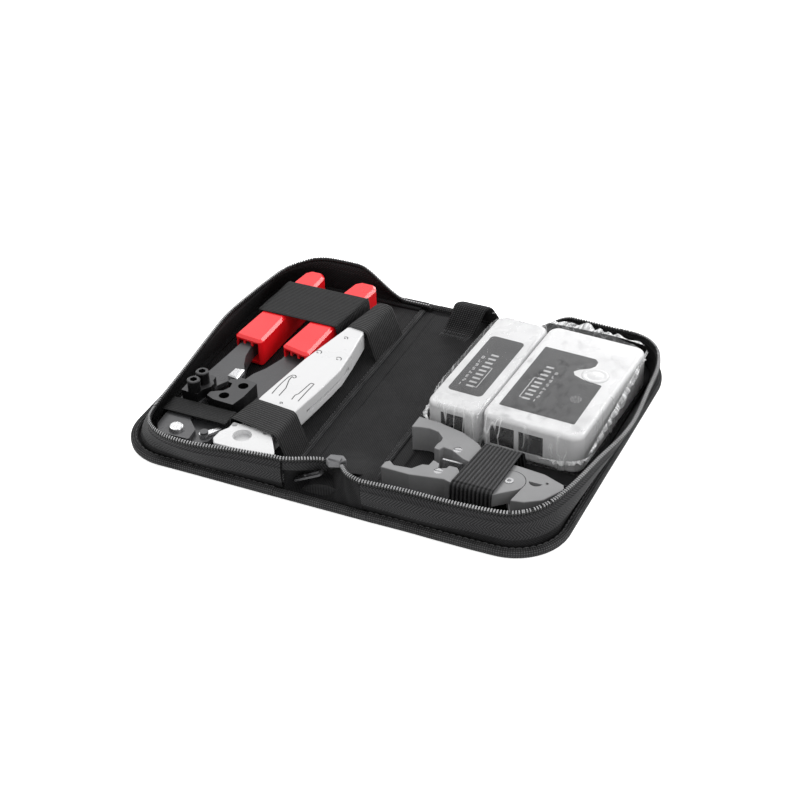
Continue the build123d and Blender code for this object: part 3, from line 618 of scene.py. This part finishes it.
def make_wall(side):
    """One half's zip wall: woven wall, herringbone tape and coil, in slices."""
    rows = WALLS[side]
    s = lengths(rows[:, :2])
    low = BIND_H - 0.0019       # the wall's foot is hidden behind the binding
    whole = []
    for at, (bx, by, nx, ny, lean, top) in zip(s, rows):
        puff = 0.0011 * sin(at * 52.0) + wobble(bx, by, 0, 28, 0.0012)
        outer, inner = [], []
        for t in WALL_LEVELS:
            z = low + (top - low) * t
            off = lean * t ** 1.25 + (WALL_BULGE + puff) * sin(pi * t) + RIDGE_OUT * (t == TAPE_RIDGE)
            outer.append((bx + nx * off, by + ny * off, z))
            inner.append((bx + nx * (off - WALL_THICK), by + ny * (off - WALL_THICK), z))
        whole.append(outer + inner[::-1])
    whole = np.asarray(whole)
    round_it = np.roll(whole, -1, axis=1) - np.roll(whole, 1, axis=1)
    normals = np.cross(np.gradient(whole, axis=0), round_it)
    normals /= np.maximum(1e-12, np.linalg.norm(normals, axis=2))[:, :, None]
    cols = whole.shape[1]
    for index, (a, b) in enumerate(wall_spans(rows, SIDES[side])):
        rings, count = whole[a:b + 1], b + 1 - a
        face_mats = [int(2 <= j < cols - 6) for _ in range(count - 1) for j in range(cols)] + [0, 0]
        uvs = np.stack([np.repeat(s[a:b + 1], cols), np.tile(lengths(rings[0]), count)], -1)
        wall = piece(f"wall_{side}_{index:02d}", rings.reshape(-1, 3), tube_faces(count, cols),
            ["wall", "tape"], uvs, face_mats, normals=normals[a:b + 1].reshape(-1, 3), flat_caps=2)
        coil = make_coil(f"coil_{side}_{index:02d}", [coil_foot(row) for row in rows[a:b + 1]], s[a])
        for obj, slot, node in ((wall, "case_fabric", "zip_wall"), (coil, "zip_coil", "zip_teeth")):
            settle(obj, f"{side}_half", f"{node}_{side}" if index == 0 else None)
            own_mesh(obj)


def make_coil(name, points, start):
    """A run of nylon coil from rows of x, y, z and outward x, y: a core bead and an arched loop per tooth,
    the loops' tops in the light material as a painted highlight.
    """
    pts = np.asarray(points, float)
    path = lengths(pts[:, :3])
    verts, faces, face_mats = [], [], []

    def add(rings, lit=()):
        rows, cols = np.shape(rings)[:2]
        add_tube(verts, faces, rings)
        # rows listed in lit get the light coil material, a painted highlight; the other rows and the caps get
        # the dark core material
        face_mats.extend([int(i not in lit) for i in range(rows - 1) for _ in range(cols)] + [1, 1])

    add([[(x + nx * 0.00075 * cos(a), y + ny * 0.00075 * cos(a), z + 0.00105 + 0.00095 * sin(a))
          for a in turn(8)] for x, y, z, nx, ny in pts])
    for at in np.arange(ceil(start / COIL_PITCH) * COIL_PITCH - start, path[-1], COIL_PITCH):
        x, y, z, nx, ny = sample(pts, path, at)
        k = min(len(pts) - 2, int(np.searchsorted(path, at)))
        along = unit(pts[k + 1, :3] - pts[k, :3])
        loop = []
        for a in np.linspace(-0.35 * pi, 1.35 * pi, 8):
            off, up = 0.0012 * cos(a), 0.00125 * sin(a)
            centre = np.array((x + nx * off, y + ny * off, z + 0.0014 + up))
            out = np.array((nx * cos(a), ny * cos(a), sin(a)))
            loop.append([centre + along * 0.00046 * cos(b) + out * 0.0004 * sin(b) for b in turn(5)])
        # rows 2 and 3 are the top of the loop, where the painted highlight goes
        add(loop, lit=(2, 3))
    return piece(name, verts, faces, ["coil", "coil_core"], np.zeros((len(verts), 2)), face_mats)


# ---------------- flat cloth parts of the case
def bridge_over(obj, side):
    """Bakes the placement of a piece with no body of its own, which lies over one fold line, into its mesh.
    """
    if side == "right":
        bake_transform(obj)
    else:
        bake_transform(obj)


def make_bindings():
    """The fat woven binding round each half and across the spine's two ends."""
    width, height = 0.0046, BIND_H + 0.0004
    inset, spine_end = width / 2, 0.0042
    section = []
    for a in turn(14):
        c, s = (abs(f) ** 0.6 * copysign(1, f) for f in (cos(a), sin(a)))
        section.append((width / 2 * c, height / 2 * (1 + s) + 0.0001))
    section = np.array(section[::-1])
    line, normal = u_line(OUT_X - inset, -OUT_Y + inset, OUT_Y - inset, CORNER - inset,
                          FOLD_X + spine_end, 0.002)
    for side, sign in SIDES.items():
        path, stitch = [], []
        for (x, y), (nx, ny) in list(zip(line, normal))[::sign]:
            push = wobble(x, y, 5 * sign, 22, 0.0005)
            path.append((sign * (x + nx * push), y + ny * push, 0.0))
            stitch.append((path[-1][0] - sign * nx * 0.0012, path[-1][1] - ny * 0.0012, BIND_H + 0.0004))
        band(f"binding_tape_{side}", path, section, "binding", f"{side}_half",
            f"binding_{side}")
        stitch_row(f"binding_stitches_{side}", stitch, f"{side}_half", 0.0026, 0.0012, 0.0002)
    for end, y, direction in (("front", -OUT_Y + inset, 1), ("back", OUT_Y - inset, -1)):
        xs = np.linspace(-FOLD_X + spine_end, FOLD_X - spine_end, 24)[::direction]
        band(f"spine_binding_{end}", [(x, y, 0.0) for x in xs], section, "binding", "spine",
             "spine_binding" if end == "front" else None)
        for side, sign in SIDES.items():
            xs = np.linspace(FOLD_X - 0.0044, FOLD_X + 0.0044, 15)[::direction * sign] * sign
            bridge_over(band(f"hinge_binding_{end}_{side}", [(x, y, 0.0) for x in xs], section * 0.97,
                "binding", None), side)


def cloth_sheet(name, x_range, y_range, top, thick, mat, step=0.003, lift=None, pull=None):
    """A thin closed sheet over a rectangle; lift raises its top, pull moves its points in plan."""
    x_low, x_high = sorted(x_range)
    xs = np.linspace(x_low, x_high, max(2, round((x_high - x_low) / step)) + 1)
    ys = np.linspace(*y_range, max(3, int(round((y_range[1] - y_range[0]) / step)) + 1))
    plan = [pull(x, y) if pull else (x, y) for x in xs for y in ys]
    verts = [(x, y, top + (lift(x, y) if lift else 0.0)) for x, y in plan]
    verts += [(x, y, top - thick) for x, y in plan]
    rows, cols, n = len(xs), len(ys), len(plan)
    faces = grid_faces(rows, cols)
    faces += [tuple(n + k for k in f[::-1]) for f in faces]
    rim = [i * cols for i in range(rows)] + [(rows - 1) * cols + j for j in range(1, cols)]
    rim += [i * cols + cols - 1 for i in range(rows - 2, -1, -1)] + list(range(cols - 2, 0, -1))
    faces += [(b, a, n + a, n + b) for a, b in zip(rim, rim[1:] + rim[:1])]
    return piece(name, verts, faces, mat, plan * 2)


def corner_pull(low, high, sign):
    """Maps a rectangle onto the lining's shape, whose outer corners are round."""
    side, r = abs(high.x if sign > 0 else low.x), CORNER - 0.008

    def pull(x, y):
        ax = abs(x)
        for cy, s in ((low.y + r, -1), (high.y - r, 1)):
            dx, dy = ax - (side - r), (y - cy) * s
            if dx > 0 and dy > 0:
                k = max(dx, dy) / hypot(dx, dy)
                return sign * (side - r + dx * k), cy + s * dy * k
        return sign * ax, y
    return pull


def lay_lining(obj, body, node):
    """A lining that lies on its panel."""
    settle(obj, body, node)


def make_linings():
    """Twill lining: a slightly puffed sheet in each half, one on the spine, soft strips over the folds."""
    for side, sign in SIDES.items():
        low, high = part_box(f"lining_{side}")
        outer, inner = high.x if sign > 0 else -low.x, FOLD_X + FOLD_HALF

        def half_lift(x, y, sign=sign):
            fold = 0.0007 * max(0.0, sin(abs(x) * 95 + y * 22)) ** 3
            return 0.0002 + abs(wobble(x, y, sign, 18, 0.0013)) + fold * 0.6
        obj = cloth_sheet(f"lining_cloth_{side}", (sign * inner, sign * outer), (low.y, high.y), LINING_TOP,
            0.0005, "lining", lift=half_lift, pull=corner_pull(low, high, sign))
        lay_lining(obj, f"{side}_half", f"lining_{side}")
    low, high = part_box("spine_lining")

    def spine_lift(x, y):
        rise = clamp((-0.052 - y) / 0.034)
        across = max(0.0, 1 - ((x - 0.002) / 0.019) ** 2)
        crown = 0.0011 * across * (0.6 + 0.4 * sin(y * 30))
        return 0.0002 + crown + 0.0085 * rise * rise * (3 - 2 * rise) * across + wobble(x, y, 3, 30, 0.0006)
    obj = cloth_sheet("lining_cloth_spine", (-FOLD_X + FOLD_HALF, FOLD_X - FOLD_HALF), (low.y, high.y),
        LINING_TOP, 0.0005, "lining", step=0.002, lift=spine_lift)
    lay_lining(obj, "spine", "spine_lining")
    strips = (      # name, reach past the fold, y range, top, thickness, material, lift, slot
        ("lining", 0.0006, (low.y, high.y), LINING_TOP + 0.0001, 0.0004, "lining", lambda x, y: 0.0001,
         "lining_twill"),
        ("cover", 0.001, (-OUT_Y + 0.004, OUT_Y - 0.004), 0.0004, 0.0007, "case", None, "case_fabric"))
    for side, sign in SIDES.items():
        for name, past, y_range, top, thick, mat, lift, slot in strips:
            x_range = [sign * (FOLD_X + reach) for reach in (-FOLD_HALF - past, FOLD_HALF + past)]
            strip = cloth_sheet(f"hinge_{name}_{side}", x_range, y_range, top, thick, mat, 0.0008, lift)
            bridge_over(settle(strip), side)


# ---------------- straps
def strap(name, edge_a, edge_b, body, node, mat, rib_height=0.00012, thick=0.0009):
    """A woven strap between two edge lines (lists of x, y, z in mm), with ribs along its length."""
    a, b = (smooth_curve(rounded_line(np.asarray(edge, float) * MM), 0.0012) for edge in (edge_a, edge_b))
    count = max(len(a), len(b))
    a, b = (sample(e, lengths(e) / lengths(e)[-1], np.linspace(0, 1, count)) for e in (a, b))
    middle = (a + b) / 2
    if np.cross(np.gradient(middle, axis=0), b - a)[:, 2].sum() < 0:
        a, b = b, a
    width, rib = float(np.mean(np.linalg.norm(b - a, axis=1))), RIB_PITCH[mat]
    columns = max(9, int(width / rib) * 4 + 1)
    normals = unit(np.cross(tangents(middle), unit(b - a)))
    rings = []
    for start, end, normal in zip(a, b, normals):
        top, bottom = [], []
        for t in np.linspace(0, 1, columns):
            p = start + (end - start) * t
            ridge = rib_height * abs(cos(pi * t * width / rib)) ** 0.7
            edge = min(1.0, min(t, 1 - t) * columns / 2.0)
            thin = thick * 0.25 * (1 - edge)
            lift = (ridge - rib_height + wobble(p[0], p[1], p[2], 60, 0.00025)) * edge
            top.append(p + normal * (lift - thin))
            bottom.append(p - normal * (thick - thin))
        rings.append(top + bottom[::-1])
    obj = settle(tube(name, rings, mat, lengths(middle), both_faces(width, columns)), body, node)
    float(lengths(middle)[-1])
    return obj


def rounded_line(points):
    """Cuts the corners twice, by up to 1.8 mm, and keeps the two ends."""
    pts = points
    for _ in range(2):
        out = [pts[0]]
        for p, q in zip(pts, pts[1:]):
            d = min(0.22, 0.0018 / max(1e-9, np.linalg.norm(q - p)))
            out += [p + (q - p) * d, q - (q - p) * d]
        pts = np.asarray(out + [pts[-1]])
    return pts[[k == 0 or np.linalg.norm(pts[k] - pts[k - 1]) > 1e-6 for k in range(len(pts))]]


def arch(foot, x_foot, x_top, y_at, top, low=3.6):
    """Edge line of a strap that goes up at x_foot[0], over at height top and down at x_foot[1]."""
    left = [(x_foot[0] - foot, y_at[0], low), (x_foot[0] - 0.2, y_at[0], low + 0.3), (x_top[0], y_at[0], top)]
    right = [(x_top[1], y_at[1], top), (x_foot[1] + 0.2, y_at[1], low + 0.3),
        (x_foot[1] + foot, y_at[1], low)]
    return left + right


ELASTICS = (    # name, material, rests on, rib height, foot; then x_foot, x_top, y_at and top of both edges
    ("grip", "rib_fine", "crimper_left_grip", 0.00016, 1.6,
     ((-113.4, -51.8), (-109.7, -53.2), (69.2, 69.2), 24.1),
     ((-115.4, -55.6), (-112.3, -58.0), (32.4, 32.4), 24.1)),
    ("nose", "rib_fine", "crimper_left_arm", 0.00012, 0.6,
     ((-119.6, -72.2), (-116.6, -73.0), (-66.0, -66.0), 20.3),
     ((-119.8, -72.2), (-116.8, -73.0), (-79.2, -79.2), 20.3)),
    ("punch", "rib_mid", "punch_top_shell", 0.00022, 0.5,
     ((-68.2, -30.2), (-66.4, -37.6), (-56.4, -59.6), 26.1),
     ((-72.2, -29.4), (-70.9, -37.4), (-78.8, -84.6), 26.1)),
    ("punch_tip", "rib_mid", "punch_top_shell", 0.00022, 0.8,
     ((-48.6, -29.4), (-46.8, -36.6), (67.0, 67.0), 24.4),
     ((-53.2, -31.8), (-52.2, -37.6), (35.4, 33.2), 25.0)),
)


def make_straps():
    """The elastic bands, the carry loop at the back of the spine and its stitches."""
    for name, mat, rests_on, rib_height, foot, edge_a, edge_b in ELASTICS:
        strap(f"{name}_strap", arch(foot, *edge_a), arch(foot, *edge_b), "left_half", f"{name}_elastic",
            mat, rib_height)
    top = 22.6
    line = [(-32.8, 3.7), (-35.0, 4.0), (-38.4, top - 2.6), (-41.6, top), (-80.6, top), (-82.6, top - 1.5),
            (-84.4, 4.2), (-85.2, 3.6)]
    left_x = (73.4, 73.4, 73.2, 73.0, 69.0, 68.6, 68.4, 68.4)
    right_x = (96.0, 96.0, 95.8, 95.6, 94.0, 93.8, 93.6, 93.6)
    left, right = ([(x, y, z) for x, (y, z) in zip(xs, line)] for xs in (left_x, right_x))
    strap("stripper_strap", left, right, "right_half", "stripper_elastic", "rib_wide",
        0.0005, 0.0011)
    left = [(8.0, 103.4, 5.4), (6.0, 98.5, 13.0), (2.0, 92.6, 22.6), (-2.2, 87.4, 23.0), (-4.6, 84.8, 14),
            (-7.6, 81.5, 4.8), (-9, 74.6, 4.2)]
    right = [(23.0, 103.0, 5.4), (22.5, 98.0, 13.0), (21.0, 92.0, 22.6), (19.0, 87.0, 23.0), (16.0, 84.4, 14),
             (12.5, 81.0, 4.8), (10.5, 74.2, 4.2)]
    strap("carry_strap", left, right, "spine", "carry_loop", "binding", thick=0.0014)
    for y in (76.2, 79.6):
        stitch_row(f"carry_stitches_{int(y)}", [(x * MM, y * MM, 0.00535)
            for x in np.linspace(-7.5, 10.5, 12)], "spine")


# ---------------- the zip's open end on the spine
ZIP_RUNS = {        # mm, from each wall's front end to the slider
    "left": [(-20, -100.6, 23.8), (-13.5, -96.6, 23.0), (-7.5, -92.4, 21.8), (-3.0, -90.4, 21.0)],
    "right": [(19.5, -102.4, 23.9), (14.5, -99.6, 23.4), (10.5, -95.4, 22.6), (7.6, -92.2, 21.4)],
}


def sink(obj):
    """Gives a part of the open zip's end a mesh of its own."""
    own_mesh(obj)


def make_zip_end():
    """The gusset under the open zip, its two short coil runs, and the stitched patch below the slider."""
    runs = {}
    for side, sign in (("left", 1), ("right", -1)):
        foot = coil_foot(WALLS[side][0])[:3]
        path = runs[side] = smooth_curve([foot, *(np.array(ZIP_RUNS[side]) * MM)], 0.001)
        stations = [(*p, sign * t[1], -sign * t[0]) for p, t in zip(path, tangents(path))]
        sink(settle(make_coil(f"coil_{side}_end", stations, 0.0), "spine"))
    tape = runs["left"] + np.array((0, 0.0004, -0.0062))
    sink(band("zip_tape_end", tape, [(0.0005, 0.0), (0.0005, 0.003), (0.0004, 0.0066), (-0.0004, 0.0066),
        (-0.0005, 0.003), (-0.0005, 0.0)], "tape", "spine"))
    left_line = resample(runs["left"] + np.array((0, 0.0012, -0.0058)), 0.0012)
    right_line = resample(runs["right"][::-1] + np.array((0, 0, -0.0004)), 0.0012)
    between = np.linspace(left_line[-1], right_line[0], 8)[1:-1]
    top_line = np.vstack([left_line, between, right_line])
    rows = 24
    rings = []
    for f, p in zip(np.linspace(0, 1, len(top_line)), top_line):       # f runs from the left to the right
        base = np.array((-FOLD_X + 2 * FOLD_X * f, -0.1026, BIND_H - 0.0009))
        hollow = 1 - clamp((f - 0.46) / 0.12)       # 1 behind the pull, 0 on the right
        shallow = (base + p) / 2 + np.array((0, -0.0022, 0))
        deep = np.array(((base[0] + p[0]) / 2, -0.0850, 0.0062))
        bend = shallow + (deep - shallow) * hollow * min(1.0, 0.25 + 6 * f)
        line = []
        for t in np.linspace(0, 1, rows):
            q = base * (1 - t) ** 2 + bend * 2 * t * (1 - t) + p * t * t
            fold = 0.0008 * sin(f * 34 + 2.2 * t) * sin(pi * t) ** 0.7
            q[1] += fold + wobble(*q, 70, 0.0006) * sin(pi * t)
            line.append(q)
        rings.append(line)
    rings = np.asarray(rings)
    skin = np.concatenate([rings, rings[:, ::-1] + np.array((0, 0.0011, 0.0))], axis=1)
    gusset = tube("spine_gusset", skin, "case", lengths(top_line), both_faces(0.022, rows))
    sink(settle(gusset, "spine", "zip_end_tabs"))
    left = [(-7.4, -70.6, 5.4), (-7.0, -73.6, 6.6), (-6.0, -79.0, 9.8), (-4.4, -85.5, 15.4),
        (-3.6, -90.2, 17.6)]
    right = [(14.0, -70.6, 5.2), (13.8, -73.6, 6.4), (13.2, -79.2, 9.4), (12.0, -86.0, 15.0),
        (11.0, -92.0, 17.6)]
    sink(strap("zip_end_patch", left, right, "spine", None, "case", 0.00005, 0.0008))
    stitch_row("zip_end_stitches", [((-6.6 + 20 * t) * MM, -72.0 * MM, (6.5 - 0.3 * t) * MM)
        for t in np.linspace(0, 1, 12)], "spine")


def make_seams():
    """Raised seam tapes beside the folds, the pocket band and their stitches, and the hems of the walls."""
    low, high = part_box("spine_lining")
    for name, x, body in (("seam_tape_left", -0.0298, "left_half"), ("seam_tape_right", 0.0185, "spine")):
        path = [(x + wobble(x, y, 0, 16, 0.0009), y, LINING_TOP + 0.0002 + abs(wobble(x, y, 4, 25, 0.0006)))
                for y in np.linspace(low.y + 0.001, high.y - 0.001, 90)]
        band(name, path, rounded_section(0.0038, 0.0011, 0.0006), "binding", body)
        stitch_row(f"{name}_stitches", [(px - 0.0013, py, pz + 0.0011) for px, py, pz in path], body,
            0.0019, 0.0009, 0.00018)
    path = [(x, -0.0345 + wobble(x, 0, 0, 30, 0.0012), LINING_TOP + 0.0008)
        for x in np.linspace(0.066, 0.128, 40)]
    band("pocket_band", path, rounded_section(0.015, 0.0012, 0.0006), "elastic", "right_half")
    for k, dy in enumerate((-0.0058, 0.0058)):
        stitch_row(f"pocket_stitches_{k}", [(x, y + dy, z + 0.0013) for x, y, z in path], "right_half",
            0.0024, 0.0014)
    for side in ("left", "right"):
        hem = [(x - nx * 0.0026, y - ny * 0.0026, LINING_TOP + 0.0006)
            for x, y, nx, ny, *_ in WALLS[side][4:-4]]
        band(f"hem_{side}", hem[::SIDES[side]], rounded_section(0.0030, 0.0016, 0.0007), "wall",
            f"{side}_half")


# ---------------- bag over the testers
def make_bag():
    """Clear film drawn round both tester units: closed rounded shell with pulled creases."""
    low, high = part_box("tester_bag")
    centre = (low + high) / 2
    half_x, half_y = (high.x - low.x) / 2 - 0.0022, (high.y - low.y) / 2 - 0.0020
    z0, z1 = low.z + 0.0002, high.z + 0.0002
    yaw_c, yaw_s = cos(TESTER_YAW), sin(TESTER_YAW)
    rim, brim, square = 0.18, 0.62, 7.0     # where the side wall starts and ends; how square the plan is
    rows, cols = 44, 190
    rings = []
    for t in np.linspace(0, 1, rows):
        up_side = (t - rim) / (brim - rim)
        line = []
        for a in turn(cols):
            ca, sa = cos(a), sin(a)
            r = (abs(ca) ** square + abs(sa) ** square) ** (-1 / square)
            if t < rim:                       # underside, centre to rim
                k, z = t / rim, z0
            elif t < brim:                    # side wall
                k, z = 1.0 - 0.012 * max(0.0, (up_side - 0.8) / 0.2) ** 2, z0 + (z1 - z0) * up_side
            else:                             # top, rim to centre
                k, z = 0.985 - 0.985 * (t - brim) / (1 - brim), z1
            lx, ly = ca * r * half_x * k, sa * r * half_y * k
            x = centre.x + lx * yaw_c - ly * yaw_s
            y = centre.y + lx * yaw_s + ly * yaw_c
            fine = noise.noise(Vector((x * 150, y * 90, z * 120)))
            ridge = (1 - abs(noise.noise(Vector((x * 42, y * 19, z * 30))))) ** 5
            if t >= brim:
                valley = 0.0016 * exp(-(abs(lx + 0.0135) / 0.004) ** 2)      # between the two units
                if lx < -0.0155:
                    z -= 0.0003
                near_rim = max(0.0, (k - 0.82) / 0.18)
                z += ridge * 0.0010 + fine * 0.0003 - valley + near_rim * (ridge * 0.0012 - 0.0001)
            elif t >= rim:
                push = (ridge * 0.0018 + fine * 0.0006) * sin(pi * min(1, up_side)) ** 0.5
                x += ca * push
                y += sa * push
            line.append((x, y, z))
        rings.append(line)
    rings = np.asarray(rings)
    obj = tube("tester_film", rings, "film", lengths(rings[:, 0]), np.linspace(0, 0.4, cols), caps=False)
    settle(obj, "testers", "tester_bag")
    make_bag_folds(low, high)


def make_bag_folds(low, high):
    """Where the bag's spare film is bunched: at its seam, round its corners and over its back edge."""
    x0, y0, x1, y1, z1 = (f / MM for f in (low.x, low.y, *high))
    runs = {        # points in mm, the way the film stands away, and its width in mm
        "back": ([(x0 + 1, y1 - 6, z1 - 0.6), (x0 + 14, y1 - 2.5, z1 - 0.2), (x0 + 34, y1 - 2.4, z1 - 1),
                  (x1 - 26, y1 - 2.0, z1 - 0.6), (x1 - 4, y1 - 3.5, z1 - 1.2)], (0.05, 0.95, 0.2), 8.0),
        "right": ([(x1 - 1.4, y1 - 6, z1 - 2.4), (x1 - 1.0, y1 - 30, z1 - 4), (x1 - 1.0, y0 + 40, z1 - 8),
                   (x1 - 1.6, y0 + 6, z1 - 12)], (0.6, 0.0, -0.5), 4.6),
        "front_right": ([(x1 - 1.0, y0 + 16, z1 - 16), (x1 - 2.5, y0 + 3.5, z1 - 14),
                         (x1 - 12, y0 + 1.2, z1 - 17), (x1 - 30, y0 + 0.8, z1 - 19)],
                        (0.35, -0.8, 0.1), 3.6),
        "front_left": ([(x0 + 1.0, y0 + 24, z1 - 9), (x0 + 0.9, y0 + 8, z1 - 11),
                        (x0 + 5, y0 + 1.6, z1 - 14)], (-0.85, -0.35, 0.2), 5.0),
        "between": ([(x0 + 34.5, y0 + 1.4, z1 - 2.2), (x0 + 35, y0 + 14, z1 - 0.6),
                     (x0 + 36, y0 + 30, z1 - 0.8)], (-0.2, -0.2, 0.8), 2.2),
    }
    folds, cols = [], 7
    for name, (points, lean, width) in runs.items():
        path = smooth_curve(np.array(points) * MM, 0.0009)
        away = np.array(lean) / np.linalg.norm(lean)
        side = unit(np.cross(np.gradient(path, axis=0), away))
        front, back = [], []
        for t, p, c in zip(np.linspace(0, 1, len(path)), path, side):
            reach = width * MM * (0.45 + 0.75 * abs(noise.noise(Vector((t * 9, len(name), 0))))) \
                * sin(pi * max(0.02, t)) ** 0.5
            line = []
            for u in np.linspace(0, 1, cols):
                ruffle = sin(t * len(path) * 0.62 + 2.3 * sin(t * 17)) * 0.0011 * u
                crumple = wobble(p[0], p[1], u * 0.02, 110, 0.0009) * u
                line.append(p + away * reach * u + c * (ruffle + crumple) + np.array((0, 0, -0.0012 * u * u)))
            front.append(line)
            back.append([q + c * 0.00008 for q in line[::-1]])
        skin = np.concatenate([front, back], axis=1)
        obj = tube(f"film_{name}", skin, "folds", lengths(path), both_faces(width * MM, cols))
        folds.append(settle(obj, "testers"))
    return folds


# ---------------- marks on the testers and the punch tool
def flat_marks(name, shapes, z, height, mat, body, yaw=0.0, centre=(0.0, 0.0)):
    """Closed outlines (mm, in the unit's own frame) raised a hair above a surface."""
    c, s = cos(yaw), sin(yaw)
    verts, faces = [], []
    for shape in shapes:
        base, n = len(verts), len(shape)
        for level in (z - 0.00004, z + height):
            verts += [(centre[0] + (x * c - y * s) * MM, centre[1] + (x * s + y * c) * MM, level)
                for x, y in shape]
        faces.append(tuple(base + n + k for k in range(n)))
        faces.append(tuple(base + k for k in range(n - 1, -1, -1)))
        for k in range(n):
            m = (k + 1) % n
            faces.append((base + k, base + m, base + n + m, base + n + k))
    settle(piece(name, verts, faces, mat, smooth=False), body)


def stroke(points, width):
    """A closed outline round an open line of the given width."""
    pts = np.asarray(points, float)
    t = tangents(pts)
    n = np.stack([-t[:, 1], t[:, 0]], -1) * width / 2
    return [*(pts - n), *(pts + n)[::-1]]


def arc(x, y, r, angles):
    return [(x + r * cos(a), y + r * sin(a)) for a in angles]


# the strokes of the numerals, on a grid one wide and two high
STROKES = {"a": ((0, 2), (1, 2)), "b": ((1, 2), (1, 1)), "c": ((1, 1), (1, 0)), "d": ((0, 0), (1, 0)),
    "e": ((0, 1), (0, 0)), "f": ((0, 2), (0, 1)), "g": ((0, 1), (1, 1))}
NUMERALS = ("bc", "abged", "abgcd", "fgbc", "afgcd", "afgedc", "abc", "abcdefg")       # 1 to 8
LIGHT_FIRST, LIGHT_PITCH = 7.6, 4.3     # the testers' row of lights, in mm along each unit


def numeral(keys, x, y, size=2.3):
    """A small stroked numeral, turned to be read from the far side."""
    return [stroke([(x - (px - 0.5) * size * 0.55, y - (py - 1) * size * 0.5) for px, py in STROKES[key]],
        0.42) for key in keys]


def make_marks():
    """Generic print on the tester's labels, the thumb rest, and the moulded figures on the punch tool, drawn
    in dark grey as painted shade along their relief.
    """
    for unit_name, digit_x, bar_x, hook_in in (("master", -7.6, -17.6, 1.6), ("remote", -5.8, 4.2, -1.6)):
        shell_low, shell_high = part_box(f"{unit_name}_top_shell")
        centre = [(a + b) / 2 for a, b in zip(shell_low, shell_high)]
        shapes = []
        for k, keys in enumerate(NUMERALS):
            shapes += numeral(keys, digit_x, LIGHT_FIRST - LIGHT_PITCH * (8 - k))
        first, last = LIGHT_FIRST - LIGHT_PITCH * 8, LIGHT_FIRST - LIGHT_PITCH * 3
        shapes.append(stroke([(bar_x, first), (bar_x, (first + last) / 2), (bar_x, last)], 0.45))
        for y in (first, last):
            shapes.append(stroke([(bar_x, y), (bar_x + hook_in / 2, y), (bar_x + hook_in, y)], 0.45))
        if unit_name == "master":
            for ring, count, r in ((1.6, 6, 0.34), (3.0, 9, 0.40)):
                shapes += [arc(x, y, r, turn(8)) for x, y in arc(13.0, -15.8, ring, turn(count))]
        flat_marks(f"{unit_name}_label_marks", shapes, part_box(f"{unit_name}_label")[1].z, 0.00005, "print",
            "testers", TESTER_YAW, centre)
    low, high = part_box("master_top_shell")
    c, s = cos(TESTER_YAW), sin(TESTER_YAW)
    cx = (low.x + high.x) / 2 + (14.0 * c - 10.6 * s) * MM
    cy = (low.y + high.y) / 2 + (14.0 * s + 10.6 * c) * MM
    profile = [(7.2, 0.0), (6.9, 0.28), (6.2, 0.42), (5.4, 0.34), (4.8, 0.12), (4.2, 0.16), (3.0, 0.44),
               (1.5, 0.62), (0.05, 0.66)]       # radius and height in mm
    rings = [[(cx + r * 1.15 * MM * cos(a), cy + r * MM * sin(a), high.z + h * MM - 0.00002)
              for a in turn(40)] for r, h in profile]
    dome = tube("thumb_rest", rings, "white", lengths(np.array(profile) * MM), np.linspace(0, 0.04, 40))
    settle(dome, "testers")

    hook = [(-60.6, -46.4), (-60.7, -40.0), (-60.4, -34.0), (-59.6, -27.1), (-58.2, -24.6), (-56.4, -24.4),
            (-55.0, -26.2), (-56.2, -27.2), (-57.9, -26.2)]
    hook_b = [(-55.8, -46.7), (-55.7, -38.1), (-57.8, -30.4), (-57.9, -26.6)]
    knife = [(-47.1, -47.3), (-47.3, -42.5), (-46.0, -40.6), (-44.4, -28.0), (-42.1, -28.3), (-42.6, -38.0),
             (-42.8, -47.5)]
    shapes = [stroke(resample(line, 1.0), 0.6) for line in (hook, hook_b, knife)]
    for x, y, r in ((-55.3, 3.0, 2.0), (-40.9, 0.9, 2.0), (-46.9, 23.1, 1.4), (-51.3, -53.0, 1.0)):
        shapes.append(stroke(arc(x, y, r, np.linspace(-0.4, 2.6, 9)), 0.55))
        shapes.append(stroke(arc(x, y, r * 0.45, np.linspace(2.8, 5.4, 6)), 0.5))
    # the moulded figures in dark grey: painted shade along their relief
    flat_marks("punch_moulded_marks", shapes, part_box("punch_top_shell")[1].z, 0.00006, "ink", "left_half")


# ---------------- run
make_camera()
make_studio()
dress_cad_nodes()
make_wall("left")
make_wall("right")
make_bindings()
make_linings()
make_straps()
make_zip_end()
make_seams()
make_bag()
make_marks()

bpy.context.view_layer.update()
